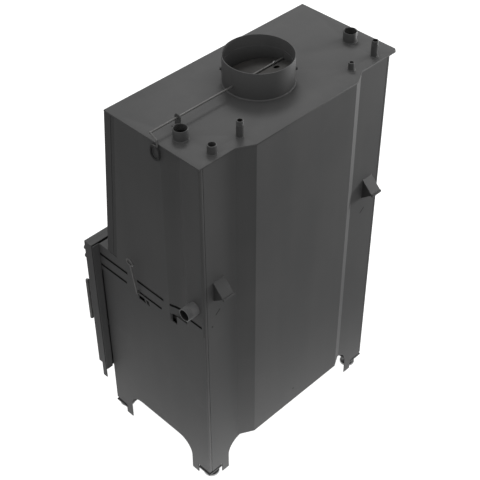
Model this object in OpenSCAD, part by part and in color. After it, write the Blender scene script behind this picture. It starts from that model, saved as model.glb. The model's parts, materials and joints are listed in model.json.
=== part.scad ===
// Boiler fireplace insert: a steel water jacket around a firebox, with a slanted hood,
// a bulged back, arched legs, a flue collar with a damper, and a glazed door at the front.
// Frame: x across (right wall is +X), y from the door (-Y) to the back (+Y), z up from the floor.

/* [Body] */
// Outer width over the two upper side panels
body_w = 758; // [730:1:790]
// Height of the top plate's upper face above the floor
body_h = 1300; // [1260:1:1360]
// Depth of the lower body, door frame not counted
body_d = 464.5; // [445:0.5:485]
// Depth of the top plate, its rear bulge not counted
top_d = 373; // [364:1:384]
// How far the top plate stands out past the left wall
top_overhang = 31; // [20:1:40]
// Height of the ledge that the slanted hood stands on
ledge_h = 759; // [745:1:775]
// Depth of that ledge in front of the hood
ledge_d = 43; // [36:1:50]

/* [Back] */
// Width of the rear bulge at its root
bulge_w = 500; // [470:1:520]
// Width of the bulge's flat face
bulge_flat_w = 398; // [370:1:420]
// How far the bulge stands out from the back
bulge_out = 27.5; // [22:0.5:34]
// Height of the two slanted hooks on the back
hook_h = 882; // [860:1:900]
// Width of each hook
hook_w = 42; // [34:1:50]

/* [Legs] */
// Width of each leg seen from the side
leg_w = 84; // [76:1:94]
// Height of the arches between the legs
arch_h = 124; // [112:1:126]
// Diameter of each levelling foot
foot_d = 52; // [44:1:56]

/* [Flue] */
// Outer diameter of the flue collar
flue_d = 204.5; // [190:0.5:215]
// Height of the flue collar above the top plate
flue_h = 85; // [80:1:110]
// Height of the damper's shaft above the top plate
damper_h = 27; // [24:1:34]
// Diameter of the damper's rod
rod_d = 6; // [4:0.5:7]

/* [Water connections] */
// Outer diameter of the two supply sockets and the side pipe
socket_d = 42; // [36:0.5:44]
// Height of the supply sockets
socket_h = 32; // [26:0.5:44]
// How far the side pipe stands out of its wall
side_pipe_out = 42; // [34:1:50]
// Height of the side pipe's axis above the floor
side_pipe_h = 782; // [772:1:800]
// Height of the cooling loop's two tall ends
loop_end_h = 51; // [40:0.5:70]

/* [Door] */
// Outer width of the door frame
door_w = 808; // [796:1:830]
// Height of the door frame's lower edge above the floor
frame_low = 202; // [190:1:215]
// Thickness of the door
door_t = 15.5; // [14:0.5:20]
// Width of the door's rim beside the glass
glass_rim = 69; // [60:0.5:80]
// Length of the door's bar handle
handle_l = 178; // [150:1:200]

/* [Air lever] */
// Length of the air slider's way in its slot
air_stroke = 90; // [60:1:95]
// Height of the lower row of slots
slot_low_h = 674; // [668:1:680]
// Distance between the two rows of slots
slot_step = 43; // [36:1:50]

/* [Hidden] */
$fn = 64;

// sheet and plate thicknesses
t_top = 5;
t_wall = 4;
t_sheet = 3;

// clearances and small laps
run_gap = 0.05;
slide_gap = 0.3;
open_gap = 0.5;
past = 1;
lip = 1.5;

// body levels and faces
z_under = body_h - t_top;
x_side = body_w / 2;
x_low = x_side - t_sheet;
x_in = x_low - t_sheet;
plate_off = 0.5;
y_back = top_d / 2 - lip - plate_off;
y_backin = y_back - t_sheet;
y_ret = y_backin - t_sheet;
y_front = y_back - body_d;
y_face = y_front - t_wall;
plate_back = y_back + lip;
plate_front = plate_back - top_d;
plate_left = -x_side - top_overhang;
plate_right = x_side + past;
y_ledge = y_front + ledge_d;
lean = atan2(plate_front - y_ledge, z_under - ledge_h);
function hood_y(z) = plate_front - (z_under - z) * tan(lean);

// back plate
edge_in = 13;
back_edge = x_side - edge_in;
bulge_a = bulge_w / 2;
bulge_b = bulge_flat_w / 2;
bulge_face = y_back + bulge_out;
base_rise = 7;
base_z = arch_h + base_rise;
base_top = base_z + t_wall;
back_leg_w = 88;
back_leg_x = x_side - back_leg_w;

// legs
arch_r = 60;
leg_low = 43;
tab_low = 3;
tab_w = 29;
rear_leg_y = y_back - leg_w;
front_leg_y = y_face + leg_w - 2 * past;

// side panels
band_drop = 22;
band_low = slot_low_h - band_drop;
band_end = 37;
rear_rise = 9;
rear_low = slot_low_h + rear_rise;
lap_h = 16;
lap_top = band_low + lap_h;
strip_w = 40;
strip_lap = 15;
strip_in = 7;
trough_y1 = 34.5;
trough_y2 = 88;
trough_y3 = 118;
trough_depth = 11;
corner_r = 5;
return_w = 21;
return_x = x_side - return_w;
slot_h = 7;
slot_top_h = slot_low_h + slot_step;
row_edge = 6;
row_top = [[y_front, -153], [-108, 9], [band_end, y_ret - row_edge]];
row_low = [[y_front, -160], [-107, -2]];
windows = [[-109, -79], [-73, -61]];
window_drop = 34;
window_low = slot_low_h - window_drop;
window_h = 21;
notch_in = 4;
notch_w = 21;
notch_h = 33;

// jacket and firebox
jacket_room = 23;
jacket_x = x_side - jacket_room;
jacket_in = jacket_x - t_wall;
jacket_out = x_in - open_gap;
bend_ya = -80;
bend_yb = 105;
bend_run = 30;
shell_room_x = 79;
shell_x = x_side - shell_room_x;
shell_in = shell_x - t_wall;
shell_room_y = 44.5;
shell_rear = y_back - shell_room_y;
shell_backin = shell_rear - t_wall;
shell_gap = 40;
floor_z = 232;
floor_top = floor_z + t_wall;
mouth_drop = 59;
mouth_top = ledge_h - mouth_drop;
shell_roof = mouth_top + t_wall;
hearth_t = 26;
hearth_top = floor_top + hearth_t;
function shell_y(z) = hood_y(z) + shell_gap;

// heat exchanger
sheet_rise = 140;
sheet_drop = 145;
sheet_low = mouth_top + sheet_rise;
sheet_high = z_under - sheet_drop;
sheet_t = 6;
tube_r = 22;
tube_wall = 3;
tube_nx = 8;
tube_ny = 3;
water_port = 60;
port_up = 50;
tube_step_x = 2 * shell_in / (tube_nx + 0.5);
tube_y0 = shell_y(sheet_low) + t_wall;
tube_room = shell_backin - shell_y(sheet_high) - t_wall;
tube_step_y = tube_room / tube_ny;
tube_y1 = shell_backin - tube_step_y / 2;

// firebox furniture
lining_t = 30;
lining_drop = 60;
lining_top = mouth_top - lining_drop;
baffle_t = 25;
lining_in = 40;
grate_w = 240;
grate_d = 180;
grate_y = -60;
grate_t = 14;
grate_bar = 9;
grate_pitch = 20;
ash_wall = 2;
ash_w = 250;
ash_d = 190;
ash_low = 150;
pan_w = 228;
pan_d = 168;
pan_h = 55;
inlet_r = 50;
inlet_low = 96;
inlet_lip = 12;

// air slider
duct_y = 45;
duct_r = 18;
lever_y = -103;
slider_x = jacket_x + slide_gap;
slider_t = 3;
slider_h = 40;
slider_end = 14;
slider_y1 = lever_y - slider_end;
slider_lap = 10;
slider_y2 = duct_y + duct_r + slider_lap;
rail_x = slider_x + slider_t + slide_gap;
rail_t = 2;
rail_lip = 5;
rail_h = 7;
rail_end = 4;
lever_r = 2.75;
lever_out = 8;
lever_rise = 126;
lever_lean = 7;
lever_ring_r = 12.5;

// flue and damper
flue_x = (plate_left + plate_right) / 2;
flue_y = 9;
flue_r = flue_d / 2;
flue_wall = 2;
flue_step = 1.5;
pipe_depth = 35;
pipe_bore = flue_r - flue_wall;
flue_in = pipe_bore - flue_step;
rod_r = rod_d / 2;
damper_z = body_h + damper_h;
flap_rest = 12;
flap_r = flue_in - flue_wall;
flap_t = 2;
flap_hole_r = 9;
flap_hole_x = 51;
flap_hole_y = 20;
screw_dx = 62;
screw_r = 1.2;
screw_head_r = 4;
screw_head_h = 2.5;
ring_r = 16;
ring_straight = 12;
ring_x = plate_right + lip + rod_r;
ring_dy = 14;
ring_drop = 57;
crank_dy = 24;
crank_drop = 12;
guide_in = 92;
guide_x = x_side - guide_in;
guide_w = 22;
guide_t = 3;
guide_over = 12;

// sockets on the top plate
socket_r = socket_d / 2;
socket_wall = 3.5;
socket_bore = socket_r - socket_wall;
socket_dx = 335.5;
socket_y = 54;
vent_r = 13;
vent_bore = 9.3;
vent_dx = 323;
vent_x = flue_x + vent_dx;
stub_in = 27;
vent_y = y_back - stub_in;
vent_h = 27.5;
pocket_r = 9;
pocket_dx = 221;
pocket_x = flue_x - pocket_dx;
pocket_h = 24;
pocket_wall = 3;
pocket_tube_r = 4;
pocket_depth = 100;
loop_r = 10;
loop_bore = 7;
loop_tube_r = 5.5;
loop_tube_bore = 4;
loop_y = vent_y;
loop_dxa = 222;
loop_dxb = 321;
loop_xa = flue_x + loop_dxa;
loop_xb = flue_x - loop_dxb;
loop_drop = 150;
loop_low = z_under - loop_drop;
loop_bend = 26;

// feet
foot_in = 37;
foot_back = 29.5;
foot_front = 11;
foot_x = x_side - foot_in;
foot_ya = y_back - foot_back;
foot_yb = y_front + foot_front;
foot_r = foot_d / 2;
foot_t = 8;
stem_r = 6;
bracket_up = 17;
bracket_z = leg_low + bracket_up;
bracket_t = 4;
bracket_in = 9;
bracket_short = 30;
stem_up = 26;
stem_top = bracket_z + bracket_t + stem_up;
nut_r = 10;
nut_h = 8;

// hooks
hook_in = 58;
hook_x = x_side - hook_in;
hook_out = 44;
hook_t = 5;

// door frame and door
frame_x = door_w / 2;
frame_top = ledge_h + past;
frame_d = 22;
frame_y = y_face - frame_d;
spindle_in = 34;
spindle_x = frame_x - spindle_in;
stile_w = 50;
open_x = min(shell_in + t_wall, spindle_x - stile_w);
open_drop = 7;
open_rise = 5;
open_low = hearth_top - open_drop;
open_top = mouth_top + open_rise;
tab_drop = 42;
door_back = frame_y - open_gap;
door_face = door_back - door_t;
door_rise = 18;
door_low = frame_low + door_rise;
glass_w = door_w - 2 * glass_rim;
door_x = frame_x - open_gap;
glass_over = 14;
window_x = glass_w / 2 - glass_over;
glass_t = 4;
glass_lip = 6;
glass_y = door_face + glass_lip;
window_rim = 60;
window_z1 = door_low + window_rim;
window_z2 = frame_top - window_rim;
step_over = 14;
clip_t = 3;
clip_w = 26;
clip_lap = 2;
clip_screw_r = 2.5;
clip_head_r = 4;
clip_head_h = 2;
seal_w = 8;
seal_d = 5;
seal_off = 3;
hinge_r = 6;
pin_r = 3.5;
hinge_in = 4;
hinge_x = -frame_x + hinge_in;
hinge_y = door_face - hinge_r - open_gap;
hinge_h = 90;
hinge_leaf = 3;
hinge_off = 80;
hinge_za = door_low + hinge_off;
hinge_zb = frame_top - hinge_off;
knuckle = hinge_h / 3;

// latch
spindle_r = 7;
bar_in = 14;
bar_out = 30;
bar_up = 171;
spindle_up = 14;
bar_x = frame_x - bar_in;
bar_y = door_face - bar_out;
bar_r = 6;
bar_z1 = door_low + bar_up;
spindle_z = bar_z1 + spindle_up;
tongue_t = 6;
tongue_w = 12;
tongue_l = 22;
keeper_t = 2.7;
keeper_h = 60;
pocket_clear = 3;
tongue_y = frame_y + t_sheet + keeper_t + slide_gap;
stud_r = 9;
stud_h = 9;
stud_step = 33;
stud_x = frame_x - stud_r;
stud_za = frame_top - stud_step;
stud_zb = frame_top - 2 * stud_step;

// hood bolts
bolt_r = 6.5;
bolt_h = 8;
bolt_in = 30;
bolt_x = x_side - bolt_in;
bolt_up = 117;

// the row's origin is the middle of the floor under the whole piece
x_max = x_side + side_pipe_out;
x_shift = -(x_max + plate_left) / 2;
y_min = bar_y - bar_r;
y_max = y_back + hook_out;
y_shift = -(y_max + y_min) / 2;

module place() {
    translate([x_shift, y_shift, 0]) children();
}

// a box between two corners
module span(a, b) {
    translate(a) cube(b - a);
}

// a round bar along X, Y or Z from a start point
module bar_x(p, l, r) {
    translate(p) rotate([0, 90, 0]) cylinder(h = l, r = r);
}
module bar_y(p, l, r) {
    translate(p) rotate([-90, 0, 0]) cylinder(h = l, r = r);
}

// a round rod between two points given by y and z, with a round end at the second
module yz_rod(a, b, r) {
    d = b - a;
    translate([0, a[0], a[1]]) rotate([atan2(-d[0], d[1]), 0, 0]) cylinder(h = norm(d), r = r);
    translate([0, b[0], b[1]]) ball(r + slide_gap);
}
module ball(r) {
    rotate_extrude() intersection() {
        circle(r = r, $fn = 32);
        translate([0, -r]) square([r, 2 * r]);
    }
}

// a plate given by its outline in y and z, standing across x
module yz_plate(x0, t) {
    translate([x0, 0, 0]) rotate([90, 0, 90]) linear_extrude(height = t) children();
}

// a plate given by its outline in x and z, standing across y (y1 is its rear face)
module xz_plate(y1, t) {
    translate([0, y1, 0]) rotate([90, 0, 0]) linear_extrude(height = t) children();
}

// an arch: an opening with two round upper corners
module arch(a, b, top) {
    translate([a + arch_r, -past]) square([b - a - 2 * arch_r, top + past]);
    translate([a, -past]) square([b - a, top - arch_r + past]);
    translate([a + arch_r, top - arch_r]) circle(r = arch_r);
    translate([b - arch_r, top - arch_r]) circle(r = arch_r);
}

// the back's plan outline: flat, chamfer, raised face, chamfer, flat
function bulge_path(dy, edge) = [
    [edge, y_back + dy],
    [bulge_a, y_back + dy],
    [bulge_b, bulge_face + dy],
    [-bulge_b, bulge_face + dy],
    [-bulge_a, y_back + dy],
    [-edge, y_back + dy]
];

module top_plate() {
    color("#3a3a3b") place() difference() {
        translate([0, 0, z_under]) linear_extrude(height = t_top) polygon([
            [plate_left, plate_front],
            [plate_right, plate_front],
            [plate_right, plate_back],
            [bulge_a + lip, plate_back],
            [bulge_b + lip, bulge_face + lip],
            [-bulge_b - lip, bulge_face + lip],
            [-bulge_a - lip, plate_back],
            [plate_left + 2 * corner_r, plate_back],
            [plate_left, plate_back - 2 * corner_r]
        ]);
        translate([flue_x, flue_y, z_under - past]) cylinder(h = t_top + 2 * past, r = flue_in);
        for (s = [-1, 1])
            translate([flue_x + s * socket_dx, socket_y, z_under - past]) cylinder(h = t_top + 2 * past, r = socket_bore + open_gap);
        translate([vent_x, vent_y, z_under - past]) cylinder(h = t_top + 2 * past, r = vent_bore + open_gap);
        translate([pocket_x, vent_y, z_under - past]) cylinder(h = t_top + 2 * past, r = pocket_tube_r);
        for (x = [loop_xa, loop_xb])
            translate([x, loop_y, z_under - past]) cylinder(h = t_top + 2 * past, r = loop_tube_r);
    }
}

// the upper part takes the flue pipe down to a step in the wall
module flue_collar() {
    color("#3f3f40") place() difference() {
        translate([flue_x, flue_y, body_h]) cylinder(h = flue_h, r = flue_r);
        translate([flue_x, flue_y, body_h - past]) cylinder(h = flue_h + 2 * past, r = flue_in);
        translate([flue_x, flue_y, body_h + flue_h - pipe_depth]) cylinder(h = flue_h, r = pipe_bore);
        bar_x([flue_x - flue_r - past, flue_y, damper_z], flue_d + 2 * past, rod_r + run_gap);
    }
}

module supply_sockets() {
    color("#444445") place() for (s = [-1, 1])
        translate([flue_x + s * socket_dx, socket_y, body_h]) difference() {
            cylinder(h = socket_h, r = socket_r);
            translate([0, 0, -past]) cylinder(h = socket_h + 2 * past, r = socket_bore);
        }
}

module vent_socket() {
    color("#444445") place() translate([vent_x, vent_y, body_h]) difference() {
        cylinder(h = vent_h, r = vent_r);
        translate([0, 0, -past]) cylinder(h = vent_h + 2 * past, r = vent_bore);
    }
}

module sensor_pocket() {
    color("#444445") place() translate([pocket_x, vent_y, 0]) difference() {
        union() {
            translate([0, 0, body_h]) cylinder(h = pocket_h, r = pocket_r);
            translate([0, 0, z_under - pocket_depth]) cylinder(h = pocket_depth + t_top + past, r = pocket_tube_r);
        }
        translate([0, 0, z_under - pocket_depth + lip])
            cylinder(h = pocket_depth + t_top + pocket_h, r = pocket_tube_r - 1);
        translate([0, 0, body_h + pocket_h / 2]) cylinder(h = pocket_h, r = pocket_r - pocket_wall);
    }
}

module loop_ends() {
    color("#444445") place() for (x = [loop_xa, loop_xb])
        translate([x, loop_y, body_h]) difference() {
            cylinder(h = loop_end_h, r = loop_r);
            translate([0, 0, -past]) cylinder(h = loop_end_h + 2 * past, r = loop_tube_r);
            translate([0, 0, loop_end_h / 2]) cylinder(h = loop_end_h, r = loop_bore);
        }
}

// one quarter bend of the cooling loop, in the plane of the loop
module loop_elbow(r) {
    rotate([90, 0, 0]) rotate_extrude(angle = 90) translate([loop_bend, 0]) circle(r = r, $fn = 32);
}

module loop_path(r, extra) {
    top = z_under + t_top / 2 + extra;
    for (x = [loop_xa, loop_xb])
        translate([x, loop_y, loop_low + loop_bend]) cylinder(h = top - loop_low - loop_bend, r = r, $fn = 32);
    translate([loop_xb + loop_bend, loop_y, loop_low]) rotate([0, 90, 0])
        cylinder(h = loop_xa - loop_xb - 2 * loop_bend, r = r, $fn = 32);
    translate([loop_xa - loop_bend, loop_y, loop_low + loop_bend]) mirror([0, 0, 1]) loop_elbow(r);
    translate([loop_xb + loop_bend, loop_y, loop_low + loop_bend]) mirror([1, 0, 0]) mirror([0, 0, 1])
        loop_elbow(r);
}

module cooling_loop() {
    color("#b87545") place() difference() {
        loop_path(loop_tube_r, t_top / 2);
        loop_path(loop_tube_bore, t_top / 2 + past);
    }
}

module back_plate() {
    low_path = [[back_edge, y_back], [-back_edge, y_back], [-back_edge, y_backin], [back_edge, y_backin]];
    color("#454546") place() {
        translate([0, 0, base_z]) linear_extrude(height = z_under - base_z)
            polygon(concat(bulge_path(0, back_edge), [
                [-back_edge, y_backin],
                [-bulge_a, y_backin],
                [-bulge_b, bulge_face - t_sheet],
                [bulge_b, bulge_face - t_sheet],
                [bulge_a, y_backin],
                [back_edge, y_backin]
            ]));
        xz_plate(y_back, t_sheet) difference() {
            translate([-back_edge, leg_low]) square([2 * back_edge, base_z - leg_low]);
            arch(-back_leg_x, back_leg_x, arch_h);
        }
        for (s = [-1, 1]) span(
            [s > 0 ? back_leg_x : -back_leg_x - tab_w, y_backin, tab_low],
            [s > 0 ? back_leg_x + tab_w : -back_leg_x, y_back, leg_low]
        );
    }
}

// depth of the shallow vertical trough in the upper side panel
function trough(y) =
    y <= trough_y1 || y >= trough_y3 ? 0
    : y <= trough_y2 ? trough_depth * sin(90 * (y - trough_y1) / (trough_y2 - trough_y1))
    : trough_depth * (1 - cos(180 * (trough_y3 - y) / (trough_y3 - trough_y2))) / 2;

trough_ys = concat(
    [for (i = [0:8]) trough_y1 + i * (trough_y2 - trough_y1) / 8],
    [for (i = [1:8]) trough_y2 + i * (trough_y3 - trough_y2) / 8]
);

// plan of the upper side panel: flat, trough, flat, round corner, return behind the back plate
function panel_plan(x_out, ys) = concat(
    [[x_out, y_face]],
    [for (y = ys) [x_out - trough(y), y]],
    [for (a = [0:15:90]) [x_out - corner_r + corner_r * cos(a), y_backin - corner_r + corner_r * sin(a)]],
    [[return_x, y_backin], [return_x, y_ret], [x_out - corner_r, y_ret], [x_out - t_sheet, y_ret - lip]],
    [for (i = [1:1:len(ys)]) [x_out - t_sheet - trough(ys[len(ys) - i]), ys[len(ys) - i]]],
    [[x_out - t_sheet, y_face]]
);

module side_slots() {
    for (r = row_top) span(
        [jacket_x + past, r[0], slot_top_h - slot_h / 2],
        [x_side + past, r[1], slot_top_h + slot_h / 2]
    );
    for (r = row_low) span(
        [jacket_x + past, r[0], slot_low_h - slot_h / 2],
        [x_side + past, r[1], slot_low_h + slot_h / 2]
    );
    for (w = windows) span(
        [jacket_x + past, w[0], window_low],
        [x_side + past, w[1], window_low + window_h]
    );
}

pipe_in = 37.5;
pipe_y = y_back - pipe_in;

// what the slanted hood cuts off a side sheet, from the ledge up
module hood_room(w) {
    ledge_low = ledge_h - t_wall;
    polygon([
        [y_face - past, ledge_low],
        [hood_y(ledge_low) + w, ledge_low],
        [hood_y(z_under + past) + w, z_under + past],
        [y_face - past, z_under + past]
    ]);
}

module side_panel(ys) {
    difference() {
        intersection() {
            translate([0, 0, band_low]) linear_extrude(height = z_under - band_low) polygon(panel_plan(x_side, ys));
            yz_plate(return_x - past, x_side) difference() {
                polygon([
                    [y_face, band_low],
                    [band_end, band_low],
                    [band_end, rear_low],
                    [y_backin, rear_low],
                    [y_backin, z_under],
                    [y_face, z_under]
                ]);
                hood_room(strip_w);
            }
        }
        side_slots();
    }
}

module side_panel_right() {
    color("#3c3c3d") place() difference() {
        side_panel(trough_ys);
        bar_x([jacket_x + past, pipe_y, side_pipe_h], x_side, socket_r + slide_gap);
    }
}

// the left panel is flat, since the water wall behind it stands further out
module side_panel_left() {
    color("#3c3c3d") place() mirror([1, 0, 0]) side_panel([]);
}

// lower side panel: legs, arch, foot tabs and a return behind the back plate
module lower_side() {
    difference() {
        union() {
            yz_plate(x_in, t_sheet) difference() {
                union() {
                    translate([y_front, leg_low]) square([y_backin - y_front, band_low - leg_low]);
                    translate([y_front, leg_low]) square([trough_y1 - open_gap - y_front, lap_top - leg_low]);
                    translate([band_end + open_gap, leg_low])
                        square([y_backin - band_end - open_gap, rear_low - leg_low]);
                }
                arch(front_leg_y, rear_leg_y, arch_h);
                hood_room(strip_w + strip_lap + open_gap);
            }
            span([x_in, rear_leg_y, tab_low], [x_low, rear_leg_y + tab_w, leg_low]);
            span([x_in, front_leg_y - tab_w, tab_low], [x_low, front_leg_y, leg_low]);
            span([return_x, y_ret, leg_low], [x_in + past, y_backin, rear_low]);
        }
        for (w = windows) span([x_in - past, w[0], window_low], [x_low + past, w[1], lap_top + past]);
        span([x_in - past, band_end + notch_in, rear_low - notch_h],
            [x_low + past, band_end + notch_in + notch_w, rear_low + past]);
    }
}

module lower_side_right() {
    color("#424243") place() difference() {
        lower_side();
        bar_x([jacket_x + past, pipe_y, side_pipe_h], x_side, socket_r + slide_gap);
    }
}
module lower_side_left() {
    color("#424243") place() mirror([1, 0, 0]) lower_side();
}

// the slanted front wall with its two side strips turned in under the side panels
module hood_front() {
    hx = x_low;
    fx = x_low - strip_in;
    color("#38383a") place() intersection() {
        translate([0, y_ledge, ledge_h]) rotate([-lean, 0, 0]) translate([0, 0, -strip_w])
            linear_extrude(height = body_h - ledge_h + 2 * strip_w) polygon([
                [-hx, strip_w + strip_lap],
                [-hx, strip_w],
                [-fx, 0],
                [fx, 0],
                [hx, strip_w],
                [hx, strip_w + strip_lap],
                [hx - t_sheet, strip_w + strip_lap],
                [hx - t_sheet, strip_w],
                [fx - t_sheet, t_wall],
                [-fx + t_sheet, t_wall],
                [-hx + t_sheet, strip_w],
                [-hx + t_sheet, strip_w + strip_lap]
            ]);
        span([-x_side, y_front, ledge_h], [x_side, y_back, z_under]);
    }
}

module ledge_plate() {
    color("#3a3a3b") place()
        span([-x_side, y_front, ledge_h - t_wall], [x_side, y_ledge + 2 * t_wall, ledge_h]);
}

module front_plate() {
    color("#38383a") place() xz_plate(y_front, t_wall) difference() {
        translate([-x_in, leg_low]) square([2 * x_in, ledge_h - t_wall - slider_lap - leg_low]);
        arch(-back_leg_x, back_leg_x, arch_h);
        translate([-shell_in, hearth_top]) square([2 * shell_in, mouth_top - hearth_top]);
    }
}

module base_plate() {
    color("#38383a") place() difference() {
        translate([0, 0, base_z]) linear_extrude(height = t_wall) polygon([
            [-x_in, y_front],
            [x_in, y_front],
            [x_in, y_ret],
            [return_x, y_ret],
            [return_x, y_backin],
            [bulge_a, y_backin],
            [bulge_b, bulge_face - t_sheet],
            [-bulge_b, bulge_face - t_sheet],
            [-bulge_a, y_backin],
            [-return_x, y_backin],
            [-return_x, y_ret],
            [-x_in, y_ret]
        ]);
        translate([0, grate_y, base_z - past]) cylinder(h = t_wall + 2 * past, r = inlet_r);
    }
}

// the two water-tight side walls behind the cover panels
module jacket_outline() {
    polygon([
        [y_front, base_top],
        [y_backin, base_top],
        [y_backin, z_under],
        [hood_y(z_under) + t_wall + lip, z_under],
        [hood_y(ledge_h) + t_wall + lip, ledge_h],
        [y_ledge + 2 * t_wall, ledge_h],
        [y_ledge + 2 * t_wall, ledge_h - t_wall],
        [y_front, ledge_h - t_wall]
    ]);
}

// the left one is bent out, so that the left supply socket opens into the water
module jacket_sides() {
    color("#38383a") place() {
        difference() {
            yz_plate(jacket_in, t_wall) jacket_outline();
            bar_x([jacket_in - past, pipe_y, side_pipe_h], t_wall + 2 * past, socket_bore + open_gap);
            bar_x([jacket_in - past, duct_y, slot_low_h], t_wall + 2 * past, duct_r);
        }
        intersection() {
            yz_plate(-x_side, x_side) jacket_outline();
            linear_extrude(height = body_h) polygon([
                [-jacket_x, y_front],
                [-jacket_x, bend_ya - bend_run],
                [-jacket_out, bend_ya],
                [-jacket_out, bend_yb],
                [-jacket_x, bend_yb + bend_run],
                [-jacket_x, y_backin],
                [-jacket_in, y_backin],
                [-jacket_in, bend_yb + bend_run],
                [-jacket_out + t_wall, bend_yb],
                [-jacket_out + t_wall, bend_ya],
                [-jacket_in, bend_ya - bend_run],
                [-jacket_in, y_front]
            ]);
        }
    }
}

// the inner box that the fire and the smoke are in: sides, back, floor, and a throat over the mouth
module shell_sides() {
    color("#303031") place() difference() {
        for (s = [-1, 1]) yz_plate(s > 0 ? shell_in : -shell_x, t_wall) polygon([
            [y_front, floor_z],
            [shell_rear, floor_z],
            [shell_rear, z_under],
            [shell_y(z_under), z_under],
            [shell_y(shell_roof), shell_roof],
            [y_front, shell_roof]
        ]);
        bar_x([shell_in - past, duct_y, slot_low_h], t_wall + 2 * past, duct_r - tube_wall);
        for (z = [sheet_low + sheet_t + port_up, sheet_high - port_up - water_port])
            span([-shell_x - past, grate_y, z], [shell_x + past, grate_y + 2 * water_port, z + water_port]);
    }
}

module shell_back() {
    color("#303031") place() span([-shell_in, shell_backin, floor_z], [shell_in, shell_rear, z_under]);
}

module shell_floor() {
    color("#303031") place() difference() {
        span([-shell_in, y_front, floor_z], [shell_in, shell_backin, floor_top]);
        span([-ash_w / 2 + ash_wall, grate_y - ash_d / 2 + ash_wall, floor_z - past],
            [ash_w / 2 - ash_wall, grate_y + ash_d / 2 - ash_wall, floor_top + past]);
    }
}

module shell_throat() {
    color("#303031") place() yz_plate(-shell_in, 2 * shell_in) polygon([
        [y_front, mouth_top],
        [shell_y(mouth_top) + t_wall, mouth_top],
        [shell_y(z_under) + t_wall, z_under],
        [shell_y(z_under), z_under],
        [shell_y(shell_roof), shell_roof],
        [y_front, shell_roof]
    ]);
}

// the room inside that box
module shell_room(extra) {
    yz_plate(-shell_in, 2 * shell_in) polygon([
        [y_front - extra, floor_top],
        [shell_backin, floor_top],
        [shell_backin, z_under + extra],
        [shell_y(z_under) + t_wall, z_under + extra],
        [shell_y(z_under) + t_wall, z_under],
        [shell_y(mouth_top) + t_wall, mouth_top],
        [y_front - extra, mouth_top]
    ]);
}

module tube_grid() {
    for (i = [0:tube_nx - 1])
        for (j = [0:tube_ny - 1])
            translate([(i - (tube_nx - 1) / 2) * tube_step_x, tube_y1 - j * tube_step_y, 0]) children();
}

module tube_sheets() {
    color("#303031") place() for (z = [sheet_low, sheet_high]) difference() {
        intersection() {
            span([-shell_in, y_front, z], [shell_in, y_back, z + sheet_t]);
            shell_room(0);
        }
        translate([0, 0, z - past]) tube_grid() cylinder(h = sheet_t + 2 * past, r = tube_r - tube_wall, $fn = 32);
    }
}

module smoke_tubes() {
    z = sheet_low + sheet_t;
    color("#3b3a39") place() translate([0, 0, z]) tube_grid() difference() {
        cylinder(h = sheet_high - z, r = tube_r, $fn = 32);
        translate([0, 0, -past]) cylinder(h = sheet_high - z + 2 * past, r = tube_r - tube_wall, $fn = 32);
    }
}

// sheet box under the hearth that the ash pan stands in
module ash_box() {
    color("#38383a") place() difference() {
        translate([-ash_w / 2, grate_y - ash_d / 2, ash_low]) cube([ash_w, ash_d, floor_z - ash_low]);
        translate([-ash_w / 2 + ash_wall, grate_y - ash_d / 2 + ash_wall, ash_low + ash_wall])
            cube([ash_w - 2 * ash_wall, ash_d - 2 * ash_wall, floor_z - ash_low]);
        translate([0, grate_y, ash_low - past]) cylinder(h = ash_wall + 2 * past, r = inlet_r - inlet_lip);
    }
}

module ash_pan() {
    base = ash_low + ash_wall;
    color("#4b4b4c") place() difference() {
        translate([-pan_w / 2, grate_y - pan_d / 2, base]) cube([pan_w, pan_d, pan_h]);
        translate([-pan_w / 2 + ash_wall, grate_y - pan_d / 2 + ash_wall, base + ash_wall])
            cube([pan_w - 2 * ash_wall, pan_d - 2 * ash_wall, pan_h]);
    }
}

module hearth_slab() {
    color("#8a7a68") place() difference() {
        span([-shell_in, y_front, floor_top], [shell_in, shell_backin, hearth_top]);
        span([-grate_w / 2 + inlet_lip, grate_y - grate_d / 2 + inlet_lip, floor_top - past],
            [grate_w / 2 - inlet_lip, grate_y + grate_d / 2 - inlet_lip, hearth_top + past]);
        span([-grate_w / 2, grate_y - grate_d / 2, hearth_top - grate_t],
            [grate_w / 2, grate_y + grate_d / 2, hearth_top + past]);
    }
}

module grate() {
    gw = grate_w - 2;
    gd = grate_d - 2;
    n = floor((gw - 2 * grate_bar) / grate_pitch);
    color("#2d2d2e") place() translate([0, grate_y, hearth_top - grate_t]) difference() {
        translate([-gw / 2, -gd / 2, 0]) cube([gw, gd, grate_t]);
        for (i = [0:n - 1])
            translate([(i - (n - 1) / 2) * grate_pitch - (grate_pitch - grate_bar) / 2, -gd / 2 + 2 * grate_bar, -past])
                cube([grate_pitch - grate_bar, gd - 4 * grate_bar, grate_t + 2 * past]);
    }
}

module lining_back() {
    color("#a08c74") place()
        span([-shell_in, shell_backin - lining_t, hearth_top], [shell_in, shell_backin, lining_top]);
}

module lining_sides() {
    color("#a08c74") place() for (s = [-1, 1]) difference() {
        span(
            [s > 0 ? shell_in - lining_t : -shell_in, y_front + lining_in, hearth_top],
            [s > 0 ? shell_in : lining_t - shell_in, shell_backin - lining_t, lining_top]
        );
        if (s > 0) bar_x([0, duct_y, slot_low_h], x_side, duct_r);
    }
}

// the deflector plate that turns the smoke to the front before it rises
module baffle() {
    color("#b5a288") place()
        span([-shell_in, grate_y, lining_top], [shell_in, shell_backin, lining_top + baffle_t]);
}

module air_tube() {
    color("#38383a") place() difference() {
        bar_x([shell_x, duct_y, slot_low_h], jacket_x - shell_x, duct_r);
        bar_x([shell_x - past, duct_y, slot_low_h], jacket_x - shell_x + 2 * past, duct_r - tube_wall);
    }
}

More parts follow.
